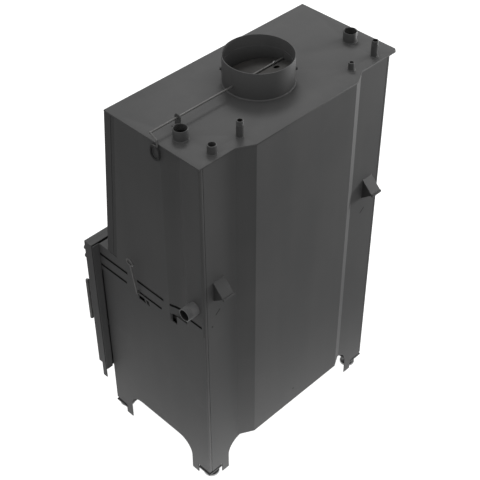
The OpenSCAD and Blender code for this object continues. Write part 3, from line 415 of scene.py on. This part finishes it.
def braided_rope(name):
    """Glass yarn braided in two directions."""
    made = Paint(name)
    one_way = made.axis("X") + made.axis("Z")
    other_way = made.axis("X") - made.axis("Z")
    braid = (one_way * BRAID).wave() * (other_way * BRAID).wave()
    fuzz = made.noise(900.0, 3.0, 0.6)
    made.set(color=braid.step(-0.7, 0.7).mix((0.40, 0.38, 0.34), (0.66, 0.64, 0.59)), rough=fuzz * 0.1 + 0.85)
    made.bump(braid * 0.7 + fuzz * 0.3, 0.0008, 0.8)
    return made.owner


pane = printed_pane("printed_pane")
rope = braided_rope("braided_glass_rope")
print("door surfaces:", pane.name, rope.name)

# %% [markdown]
# Each CAD node keeps its exact shape and takes the material of its slot. The back plate takes the
# paint with its small dark marks, and the side panels the paint with painted shade round their slots.

# %% Carry the materials over to the CAD nodes
LOOK = {
    "anthracite_paint": outer,
    "dark_plate": plate_paint,
    "inner_steel": inner_steel,
    "socket_steel": socket_paint,
    "bright_steel": bright_steel,
    "rod_steel": rod_steel,
    "copper": copper,
    "fireclay": clay,
    "vermiculite": board,
    "glass": pane,
    "rope": rope,
}
SLOT = {entry["node"]: entry["material_slot"] for entry in frame["record"]["subparts"]}
for name, slot in SLOT.items():
    for place in nodes[name].material_slots:
        place.material = LOOK[slot]
for name, paint in (("back_plate", back_paint), ("side_panel_right", side_paint_slot_shade), ("side_panel_left", side_paint_slot_shade)):
    nodes[name].material_slots[0].material = paint
print("materials set on", len(SLOT), "nodes")

# %% [markdown]
# The camera was found from the photograph's edges: a long lens, above and behind the right corner.

# %% Camera
camera_data = bpy.data.cameras.new("camera")
camera_data.lens = 83.07
camera_data.sensor_width = 36.0
camera_data.clip_end = 50.0
camera = bpy.data.objects.new("camera", camera_data)
bpy.context.scene.collection.objects.link(camera)
forward = Vector((-0.527594, -0.528418, -0.665146))
right = Vector((-0.705821, 0.708384, -0.00291))
above = Vector((-0.472717, -0.467939, 0.746707))
turn = Matrix((right, above, -forward)).transposed().to_4x4()
camera.matrix_world = Matrix.Translation((1.84854, 1.870985, 3.014068)) @ turn
bpy.context.scene.camera = camera
print("camera lens in mm:", round(camera_data.lens, 2))

# %% [markdown]
# Sheet steel is never cut to a perfectly sharp edge. A merged copy of a CAD node gets its sharp edges
# rounded by half a millimetre or so, so that they catch a thin line of light, and stands for the node.

# %% Helpers that turn a bmesh into a piece
BODY_OF = {node: body for body, members in frame["record"]["behaviour"]["bodies"].items() for node in members}
MERGE = 1e-6


def finish_piece(name, shape, stands_for=None, body="insert_body", slot=None, look=None, smooth=35.0):
    """Writes the bmesh to an object at the origin and says what it rides on."""
    mesh = bpy.data.meshes.new(name)
    shape.to_mesh(mesh)
    shape.free()
    for face in mesh.polygons:
        face.use_smooth = True
    mesh.set_sharp_from_angle(angle=math.radians(smooth))
    piece = bpy.data.objects.new(name, mesh)
    bpy.context.scene.collection.objects.link(piece)
    slot = slot or SLOT[stands_for]
    mesh.materials.append(look or LOOK[slot])
    if stands_for:
        body = BODY_OF[stands_for]
        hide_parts(stands_for)
    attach(piece, body)
    return piece


def rounded_copy(node, width, look=None):
    """A copy of a CAD node, merged, with its flat faces joined and its sharp edges rounded."""
    shape = bmesh.new()
    shape.from_mesh(nodes[node].data)
    bmesh.ops.remove_doubles(shape, verts=shape.verts, dist=MERGE)
    bmesh.ops.dissolve_limit(shape, angle_limit=math.radians(0.6), verts=shape.verts, edges=shape.edges)
    sharp = [e for e in shape.edges if len(e.link_faces) == 2 and e.calc_face_angle(0.0) > math.radians(30.0)]
    bmesh.ops.bevel(shape, geom=sharp, offset=width / 1000.0, affect="EDGES", segments=2, profile=0.5,
                    material=-1, clamp_overlap=True)
    bmesh.ops.triangulate(shape, faces=shape.faces)
    return finish_piece(node + "_rounded", shape, stands_for=node, smooth=20.0, look=look)


# %% Round the edges of the plain sheet pieces
for node, width in (("top_plate", 0.9), ("hood_front", 0.7), ("ledge_plate", 0.8), ("rear_hooks", 0.8),
                    ("flue_collar", 0.7), ("rod_guide", 0.5)):
    made = rounded_copy(node, width, look=hook_paint if node == "rear_hooks" else None)
    print("rounded", node, len(made.data.polygons), "faces")

# %% [markdown]
# A strip of sheet covers each slanted edge of the hood, and a narrow flange closes the door frame's side
# against the body. Both are folded from flat sheet. Each bar starts as a rounded block, which is then
# twisted and sheared.

# %% Bars of flat sheet
def rounded_box(shape, low, high, round_by, segments=2):
    """A box between two corners, with all its edges rounded. Gives its points."""
    verts = bmesh.ops.create_cube(shape, size=1.0)["verts"]
    bmesh.ops.scale(shape, verts=verts, vec=high - low)
    bmesh.ops.translate(shape, verts=verts, vec=(high + low) / 2)
    edges = list({e for v in verts for e in v.link_edges})
    done = bmesh.ops.bevel(shape, geom=edges, offset=round_by / 1000.0, affect="EDGES", segments=segments,
                           profile=0.5, material=-1, clamp_overlap=True)
    return list({v for f in done["faces"] for v in f.verts})


def sheet_bar(shape, low, high, round_by=0.5, shear=0.0, twist=0.0):
    """A flat bar between two corners in millimetres, twisted about its front edge, then leant back along Y."""
    low, high = mm(*low), mm(*high)
    verts = rounded_box(shape, low, high, round_by)
    pivot = Vector((low.x if twist > 0 else high.x, low.y, 0.0))
    bmesh.ops.rotate(shape, verts=verts, cent=pivot, matrix=Matrix.Rotation(twist, 3, "Z"))
    for vert in verts:
        vert.co.y -= (high.z - vert.co.z) * shear


def both_sides(inner, outer_x):
    """The two x values of a bar, smaller first, with the side they belong to."""
    return [(side, *sorted((side * inner, side * outer_x))) for side in (1, -1)]


# %% Strips along the hood, seams along the corners, flanges behind the door frame
strips = bmesh.new()
for side, x_low, x_high in both_sides(376.2, 378.8):
    sheet_bar(strips, (x_low, -187.8, HOOD_LOW), (x_high, -160.0, HOOD_HIGH), shear=HOOD_RUN,
              twist=side * -math.radians(2.5))
    sheet_bar(strips, (x_low, -159.6, HOOD_LOW), (x_high + 0.3 * (side > 0), -145.6, HOOD_HIGH), shear=HOOD_RUN)
# The strips take the darker paint: painted shade.
finish_piece("hood_edge_strips", strips, slot="anthracite_paint", look=strip_painted_shade, smooth=20.0)

seams = bmesh.new()
for side, x_low, x_high in both_sides(365.6, 376.6):
    sheet_bar(seams, (x_low, 178.4, 44.0), (x_high, 184.4, HOOD_HIGH), 2.7)
finish_piece("corner_seams", seams, slot="anthracite_paint", smooth=50.0)

flanges = bmesh.new()
for side, x_low, x_high in both_sides(379.6, 403.9):
    sheet_bar(flanges, (x_low, -283.8, 203.0), (x_high, -281.6, 758.0))
finish_piece("frame_flanges", flanges, slot="anthracite_paint", smooth=20.0)
print("strips, seams and flanges folded")

# %% [markdown]
# The two hooks on the back are slanted plates. Each has a lip along its lower end and, behind it, a
# wedge-shaped web that carries the load into the wall. The web is painted darker than the wall, as
# painted shade under the hook.

# %% Lips and webs of the two hooks
lips = bmesh.new()
for side in (1, -1):
    x = side * HOOK_X
    sheet_bar(lips, (x - 21, 224.6, 836.2), (x + 21, 228.4, 844.2), 0.8)
finish_piece("hook_lips", lips, slot="anthracite_paint", smooth=20.0)

WEB_FOOT, WEB_TIP = 0.030, 0.0004
webs = bmesh.new()
for side in (1, -1):
    x = side * HOOK_X
    low, high = mm(x - 19.5, 184.2, 838.5), mm(x + 19.5, 221.0, 874.0)
    verts = bmesh.ops.create_cube(webs, size=1.0)["verts"]
    bmesh.ops.scale(webs, verts=verts, vec=high - low)
    bmesh.ops.translate(webs, verts=verts, vec=(high + low) / 2)
    for vert in verts:
        if vert.co.z > (low.z + high.z) / 2:
            vert.co.y = min(vert.co.y, low.y + WEB_TIP)
        elif vert.co.y < (low.y + high.y) / 2:
            vert.co.z = low.z - WEB_FOOT
finish_piece("hook_webs", webs, slot="anthracite_paint", look=web_paint, smooth=20.0)
print("lips and webs set on the hooks")

# %% [markdown]
# Under each leg lies a small sole plate, set off from the sheets by a narrow recess. A near-black block
# fills the recess as painted shade.

# %% Sole plates under the legs
SOLE_ACROSS, SOLE_ALONG = 59.0, 52.0
SOLE_LOW, SOLE_TOP, LEG_LOW = 29.5, 35.2, 43.0
SOLE_INSET, RECESS = 0.2, 3.8
REAR_Y, FRONT_Y = 184.3, -279.8


def corner_bar(shape, side, corner_y, inward, inset, low, high):
    """A flat block that fills a leg's corner, set back from both sheets by inset."""
    x_low, x_high = sorted((side * (SIDE_X - inset), side * (SIDE_X - SOLE_ACROSS)))
    y_low, y_high = sorted((corner_y + inward * inset, corner_y + inward * SOLE_ALONG))
    sheet_bar(shape, (x_low, y_low, low), (x_high, y_high, high), 0.8)


soles = bmesh.new()
recess_shade_blocks = bmesh.new()
for side in (1, -1):
    for corner_y, inward in ((REAR_Y, -1), (FRONT_Y, 1)):
        corner_bar(soles, side, corner_y, inward, SOLE_INSET, SOLE_LOW, SOLE_TOP)
        corner_bar(recess_shade_blocks, side, corner_y, inward, RECESS, SOLE_TOP - 0.5, LEG_LOW + 4.0)
finish_piece("leg_soles", soles, slot="anthracite_paint", smooth=20.0)
# The recess blocks are nearly black: painted shade.
finish_piece("sole_recesses", recess_shade_blocks, slot="anthracite_paint", look=thread_oil_and_painted_shade, smooth=20.0)
print("soles laid")

# %% [markdown]
# Sockets and pipe ends are turned pieces: half of their section is drawn once and spun round its axis.
# The thread is drawn as rings, which at this size can't be told from a helix.

# %% Lathe
TO_BACK = Matrix.Rotation(-math.pi / 2, 3, "X")
TO_FRONT = Matrix.Rotation(math.pi / 2, 3, "X")
TO_RIGHT = Matrix.Rotation(math.pi / 2, 3, "Y")


def turned(shape, profile, steps, closed):
    """Spins a section, given as (radius, height) in millimetres, round Z into the bmesh."""
    verts = [shape.verts.new((r / 1000.0, 0.0, z / 1000.0)) for r, z in profile]
    pairs = list(zip(verts, verts[1:])) + ([(verts[-1], verts[0])] if closed else [])
    edges = [shape.edges.new(pair) for pair in pairs]
    bmesh.ops.spin(shape, geom=verts + edges, cent=(0, 0, 0), axis=(0, 0, 1), dvec=(0, 0, 0),
                   angle=math.tau, steps=steps, use_merge=True, use_duplicate=False)
    bmesh.ops.remove_doubles(shape, verts=shape.verts, dist=MERGE)
    bmesh.ops.recalc_face_normals(shape, faces=shape.faces)


def add_turned(shape, profile, spot, lean=None, steps=40, closed=False):
    """Turns a section, leans it from Z, sets it in place and adds it to the bmesh."""
    part = bmesh.new()
    turned(part, profile, steps, closed)
    if lean is not None:
        bmesh.ops.rotate(part, verts=part.verts, cent=(0, 0, 0), matrix=lean)
    bmesh.ops.translate(part, verts=part.verts, vec=spot)
    mesh = bpy.data.meshes.new("turned_part")
    part.to_mesh(mesh)
    part.free()
    shape.from_mesh(mesh)
    bpy.data.meshes.remove(mesh)


def off_axis(step, lean):
    """Distance from the turned piece's axis."""
    return math.hypot(step.y, step.z) if lean is not None else math.hypot(step.x, step.y)


def lathe(name, profile, spots, stands_for, lean=None, steps=64, closed=True, mouth=0.0, look=None):
    """One turned section, copied to each spot. Inside the mouth's radius it is nearly black: oil on the thread, and
    painted shade inside the bore.
    """
    shape = bmesh.new()
    for spot in spots:
        add_turned(shape, profile, spot, lean, steps, closed)
    if mouth:
        reach = (mouth + 2.0) / 1000.0
        for face in shape.faces:
            middle = face.calc_center_median()
            face.material_index = int(min(off_axis(middle - spot, lean) for spot in spots) < reach)
    piece = finish_piece(name, shape, stands_for=stands_for, look=look)
    if mouth:
        piece.data.materials.append(thread_oil_and_painted_shade)
    return piece


def inner_thread(bore, top, depth, pitch, length):
    """Section points of a female thread, from its mouth downwards."""
    points = [(bore + depth + 0.5, top), (bore + depth, top - 0.6)]
    for ring in range(int(length / pitch)):
        z = top - 0.6 - ring * pitch
        points += [(bore, z - pitch * 0.5), (bore + depth, z - pitch)]
    return points + [(bore, top - length - pitch)]


def outer_thread(radius, top, depth, pitch, length):
    """Section points of a male thread, from below its first ring up to its end."""
    points = []
    for ring in range(int(length / pitch), 0, -1):
        z = top - 1.0 - ring * pitch
        points += [(radius, z), (radius - depth, z + pitch * 0.5)]
    return points + [(radius, top - 1.0), (radius - 1.0, top)]


# %% Threaded sockets and pipe ends
BIG_PITCH, SMALL_PITCH = 2.31, 1.81
SOCKET_BORE, SOCKET_R, SOCKET_TOP = 17.5, 21, 1332
VENT_BORE, VENT_R, VENT_TOP = 9.3, 13, 1327.5
LOOP_BORE, LOOP_R, LOOP_TOP = 5.5, 10, 1351
PIPE_BORE, PIPE_R, PIPE_INNER_X, PIPE_OUTER_X = 17.5, 20.7, 356, 421

socket_section = [(SOCKET_BORE, TOP_Z), (SOCKET_R, TOP_Z), (SOCKET_R, SOCKET_TOP - 1.2), (SOCKET_R - 0.8, SOCKET_TOP)]
socket_section += inner_thread(SOCKET_BORE, SOCKET_TOP, 1.3, BIG_PITCH, 20)
lathe("supply_sockets_threaded", socket_section, SOCKET_SPOTS[:2], "supply_sockets", mouth=SOCKET_BORE)

vent_section = [(VENT_BORE, TOP_Z), (VENT_R, TOP_Z), (VENT_R, VENT_TOP - 0.9), (VENT_R - 0.7, VENT_TOP)]
vent_section += inner_thread(VENT_BORE, VENT_TOP, 1.1, SMALL_PITCH, 14)
lathe("vent_socket_threaded", vent_section, SOCKET_SPOTS[2:3], "vent_socket", mouth=VENT_BORE - 0.3)

end_section = [(LOOP_BORE, TOP_Z), (LOOP_R, TOP_Z)] + outer_thread(LOOP_R, LOOP_TOP, 0.9, SMALL_PITCH, 14)
end_section += [(7.4, LOOP_TOP), (7, LOOP_TOP - 0.4), (7, LOOP_TOP - 25.5), (LOOP_BORE, LOOP_TOP - 25.5)]
lathe("loop_ends_threaded", end_section, SOCKET_SPOTS[4:], "loop_ends", mouth=LOOP_BORE - 0.1)

pipe_section = [(PIPE_BORE, PIPE_INNER_X), (PIPE_R, PIPE_INNER_X)]
pipe_section += outer_thread(PIPE_R, PIPE_OUTER_X, 1.1, BIG_PITCH, 18)
pipe_section += inner_thread(PIPE_BORE, PIPE_OUTER_X, 0.0, BIG_PITCH, 2)
lathe("return_pipe_threaded", pipe_section, [mm(0, 147, 782)], "return_pipe", lean=TO_RIGHT,
      mouth=PIPE_BORE - 1.8, look=pipe_paint)
print("sockets turned")

# %% [markdown]
# Two hexagon screws on the collar's flanks hold the flue pipe in it.

# %% Collar screws
SCREW_ANGLES, SCREW_Z, SCREW_SEAT = (-45, 135), 1338, 0.1021
WASHER, HEAD = (0.0012, 0.0065, 24), (0.0056, 0.0046, 6)
screws = bmesh.new()
for angle in SCREW_ANGLES:
    out = Matrix.Rotation(math.radians(angle), 4, "Z")
    seat = Matrix.Translation(mm(COLLAR_X, COLLAR_Y, SCREW_Z)) @ out @ Matrix.Translation((SCREW_SEAT, 0, 0))
    for depth, radius, segments in (WASHER, HEAD):
        made = bmesh.ops.create_cone(screws, cap_ends=True, segments=segments, radius1=radius, radius2=radius * 0.94,
                                     depth=depth)
        turn_out = Matrix.Translation((depth / 2, 0, 0)) @ Matrix.Rotation(math.pi / 2, 4, "Y")
        bmesh.ops.transform(screws, verts=made["verts"], matrix=seat @ turn_out)
finish_piece("collar_screws", screws, slot="rod_steel", look=plate_paint, smooth=20.0)
print("collar screws:", len(SCREW_ANGLES))

# %% [markdown]
# Every socket, and the collar, stands in a weld. A bead is a ring of small overlapping ripples; it is a
# turned ring whose points are then pushed in and out along the seam.

# %% Weld beads
BEAD_STEPS, BEAD_LIFT = 144, 0.02


def weld_bead(name, spot, radius, size, ripples):
    """A rippled ring round a socket, lying on the top plate."""
    shape = bmesh.new()
    section = [(radius - size * 0.4, BEAD_LIFT), (radius + size, BEAD_LIFT), (radius + size * 0.72, size * 0.5),
               (radius + size * 0.2, size * 0.86), (radius - size * 0.4, size)]
    turned(shape, section, BEAD_STEPS, closed=True)
    for vert in shape.verts:
        flat = math.hypot(vert.co.x, vert.co.y)
        angle = math.atan2(vert.co.y, vert.co.x)
        push = 0.10 * size / 1000.0 * (math.sin(angle * ripples) + 0.6 * math.sin(angle * 7 + spot.x * 40))
        if flat > radius / 1000.0:
            vert.co.x += push * math.cos(angle)
            vert.co.y += push * math.sin(angle)
            vert.co.z = max(vert.co.z + push * 0.6, BEAD_LIFT / 1000.0)
    bmesh.ops.translate(shape, verts=shape.verts, vec=spot)
    return finish_piece(name, shape, slot="anthracite_paint", smooth=60.0)


weld_bead("weld_collar", mm(COLLAR_X, COLLAR_Y, TOP_Z), COLLAR_R, 3.2, ripples=120)
for number, (x, y, r) in enumerate(SOCKETS):
    weld_bead(f"weld_socket_{number}", mm(x, y, TOP_Z), r, 2.2, ripples=int(r * 1.5))
print("weld beads laid:", 1 + len(SOCKETS))

# %% [markdown]
# A levelling foot is a pressed steel plate with a rolled edge and a threaded stem. The lock nuts are
# hexagons whose corners are rounded off.

# %% Levelling feet and their nuts
STEM_R, STEM_LOW, STEM_PITCH, STEM_RINGS = 6, 14, 1.75, 42
NUT_R, NUT_THICK, NUT_LOWS = 0.010, 8, (52, 64)

foot_section = [(0, 0), (24.8, 0), (26, 1.2), (26, 6.2), (25.2, 7.6), (23, 8), (10, 8), (8.2, 9.2), (7, 12)]
foot_section += [(STEM_R, 12.5)]
for ring in range(STEM_RINGS):
    z = STEM_LOW + ring * STEM_PITCH
    foot_section += [(STEM_R, z), (STEM_R - 0.6, z + 0.85)]
foot_section += [(STEM_R, 88.6), (STEM_R - 1, 90), (0, 90)]
lathe("levelling_feet_turned", foot_section, FOOT_SPOTS, "levelling_feet", steps=40, closed=False)

nuts = bmesh.new()
for spot in FOOT_SPOTS:
    for low in NUT_LOWS:
        made = bmesh.ops.create_cone(nuts, cap_ends=True, segments=6, radius1=NUT_R, radius2=NUT_R,
                                     depth=NUT_THICK / 1000.0)
        fresh = made["verts"]
        rims = [e for e in nuts.edges
                if all(v in fresh for v in e.verts) and abs(e.verts[0].co.z - e.verts[1].co.z) < MERGE]
        rounded = bmesh.ops.bevel(nuts, geom=rims, offset=0.0009, affect="EDGES", segments=2, profile=0.5,
                                  material=-1, clamp_overlap=True)
        fresh = {v for f in rounded["faces"] for v in f.verts} | {v for v in fresh if v.is_valid}
        lift = Vector((0, 0, (low + NUT_THICK / 2) / 1000.0))
        bmesh.ops.translate(nuts, verts=list(fresh), vec=spot + lift)
finish_piece("leg_nuts_cornered", nuts, "leg_nuts", smooth=20.0)
print("feet and nuts made:", len(FOOT_SPOTS), "and", len(FOOT_SPOTS) * len(NUT_LOWS))

# %% [markdown]
# The door's handle is a round bar with domed ends on a short arm. Its spindle passes through a rosette
# on the door, and a flat tongue sits on the spindle's inner end.

# %% Door handle and studs
def domed(radius, length, dome):
    """Section of a bar along Z from 0 to length with domed ends."""
    arc = [(radius * math.sin(a), dome * (1 - math.cos(a))) for a in [math.pi / 2 * k / 6 for k in range(7)]]
    return arc + [(r, length - z) for r, z in reversed(arc)]


ROSETTE = [(0, 0), (12.6, 0), (14, 0.5), (14, 1.45), (0, 1.45)]
handle = bmesh.new()
add_turned(handle, domed(6, 178, 5), mm(390, LATCH_Y, 391))
add_turned(handle, domed(7, 57.5, 2), mm(LATCH_X, LATCH_Y + 0.2, LATCH_Z), TO_BACK)
add_turned(handle, ROSETTE, mm(LATCH_X, -324, LATCH_Z), TO_BACK)
add_turned(handle, domed(5.2, 20, 1), mm(LATCH_X, LATCH_Y, LATCH_Z), TO_RIGHT)
tongue_at, tongue_half = mm(LATCH_X, -297, 397), Vector((0.006, 0.003, 0.014))
rounded_box(handle, tongue_at - tongue_half, tongue_at + tongue_half, 1.2)
finish_piece("latch_handle_turned", handle, "latch_handle", smooth=40.0)

STUD = [(0, 9), (5.2, 9), (7.4, 8.2), (8.6, 6.8), (9, 5), (9, 1.2), (8.2, 0.8), (8.2, 0), (0, 0)]
lathe("door_studs_turned", STUD, [mm(395, -322, 727), mm(395, -322, 694)], "door_studs", lean=TO_FRONT, steps=40,
      closed=False)
print("handle and studs made")

# %% [markdown]
# The flap hangs on its shaft by two small saddles, each held by a screw with a domed head. They turn
# with the damper, so they ride on that body. At rest the flap leans by twelve degrees.

# %% Saddles and screws on the damper's shaft
LEAN = Matrix.Rotation(math.radians(12), 3, "X")
SADDLE_HALF, SADDLE_UP = Vector((0.0065, 0.00375, 0.0029)), Vector((0, 0, 0.0004))
SADDLE_SPOTS = [mm(COLLAR_X + x, COLLAR_Y, SHAFT_Z) for x in (-SADDLE_X, SADDLE_X)]

saddles = bmesh.new()
for spot in SADDLE_SPOTS:
    verts = rounded_box(saddles, SADDLE_UP - SADDLE_HALF, SADDLE_UP + SADDLE_HALF, 1.4, segments=3)
    bmesh.ops.rotate(saddles, verts=verts, cent=(0, 0, 0), matrix=LEAN)
    bmesh.ops.translate(saddles, verts=verts, vec=spot)

SCREW = [(1.2, -3), (1.2, 3), (4, 3), (4, 4.2), (3.2, 5.1), (1.2, 5.5), (1.0, 4.9), (0, 4.9), (0, -3)]
lathe("damper_screws_turned", SCREW, SADDLE_SPOTS, "damper_screws", lean=LEAN, steps=24, closed=False)
finish_piece("shaft_saddles", saddles, body="damper", slot="bright_steel", smooth=30.0)
print("saddles made:", len(SADDLE_SPOTS))

# %% [markdown]
# A studio with a white table. Most light comes from above: a soft key from the left front, so that the
# shadows on the top plate fall towards the camera, and a soft strip past the far end that grazes the
# back and brightens the far bevel. The sky is a little darker near the horizon. To the camera, sky and
# table are plain white.

# %% Sky and lights
WHITE = grey(1.0)
sky = Paint("studio", "worlds", "Background", "Generated")
sky_tone = sky.axis("Z").step(0.1, 1.0).mix(grey(0.50), grey(0.72))
sky.feed(sky.shader.inputs["Color"], sky.camera_ray().mix(sky_tone, WHITE))
sky.shader.inputs["Strength"].default_value = 1.0
bpy.context.scene.world = sky.owner


def area_light(name, place, size, power, aim):
    """A square soft light at one place, turned to another."""
    data = bpy.data.lights.new(name, "AREA")
    data.size = size
    data.energy = power
    lamp = bpy.data.objects.new(name, data)
    bpy.context.scene.collection.objects.link(lamp)
    spot = Vector(place)
    look = (Vector(aim) - spot).to_track_quat("-Z", "Y")
    lamp.matrix_world = Matrix.Translation(spot) @ look.to_matrix().to_4x4()
    print("light", name, "of", power, "watts")


area_light("key", place=(-1.45, -1.5, 4.1), size=1.0, power=37.0, aim=(0.0, 0.0, 1.3))
area_light("strip", place=(-2.3, 0.80, 1.25), size=0.8, power=50.0, aim=(0.0, 0.25, 0.9))

# %% [markdown]
# The white table glows round the legs and lifts the foot of the walls, more so behind the insert and
# towards its right. The glow fades with the distance from the insert's footprint.

# %% Floor
FOOTPRINT_X, FOOTPRINT_Y, FOOTPRINT_BACK = 0.38, 0.20, -0.06
GLOW_NEAR, GLOW_FAR, GLOW, GLOW_LEFT = 0.08, 0.62, 0.82, 0.06


def glowing_table(name):
    """White to the camera. To the walls it gives a soft light from near the legs."""
    made = Paint(name)
    beside = (made.axis("X").size() - FOOTPRINT_X).highest(0.0)
    before = ((made.axis("Y") - FOOTPRINT_BACK).size() - FOOTPRINT_Y).highest(0.0)
    away = (beside.power(2.0) + before.power(2.0)).power(0.5)
    behind = made.axis("Y").step(0.0, 0.6) * (made.axis("X") * 2.4 + 0.85)
    glow = away.step(GLOW_FAR, GLOW_NEAR) * (behind + GLOW) + GLOW_LEFT
    seen = made.camera_ray()
    made.feed(made.shader.inputs["Emission Color"], glow * (1.0 - seen) + seen)
    made.shader.inputs["Emission Strength"].default_value = 1.0
    made.set(color=grey(0.25), rough=0.9, specular=0.0)
    return made.owner


mesh = bpy.data.meshes.new("floor")
shape = bmesh.new()
bmesh.ops.create_grid(shape, x_segments=1, y_segments=1, size=12.0)
shape.to_mesh(mesh)
shape.free()
mesh.materials.append(glowing_table("floor_white"))
floor = bpy.data.objects.new("floor", mesh)
bpy.context.scene.collection.objects.link(floor)
bpy.context.scene.view_settings.view_transform = "Standard"
print("floor laid")
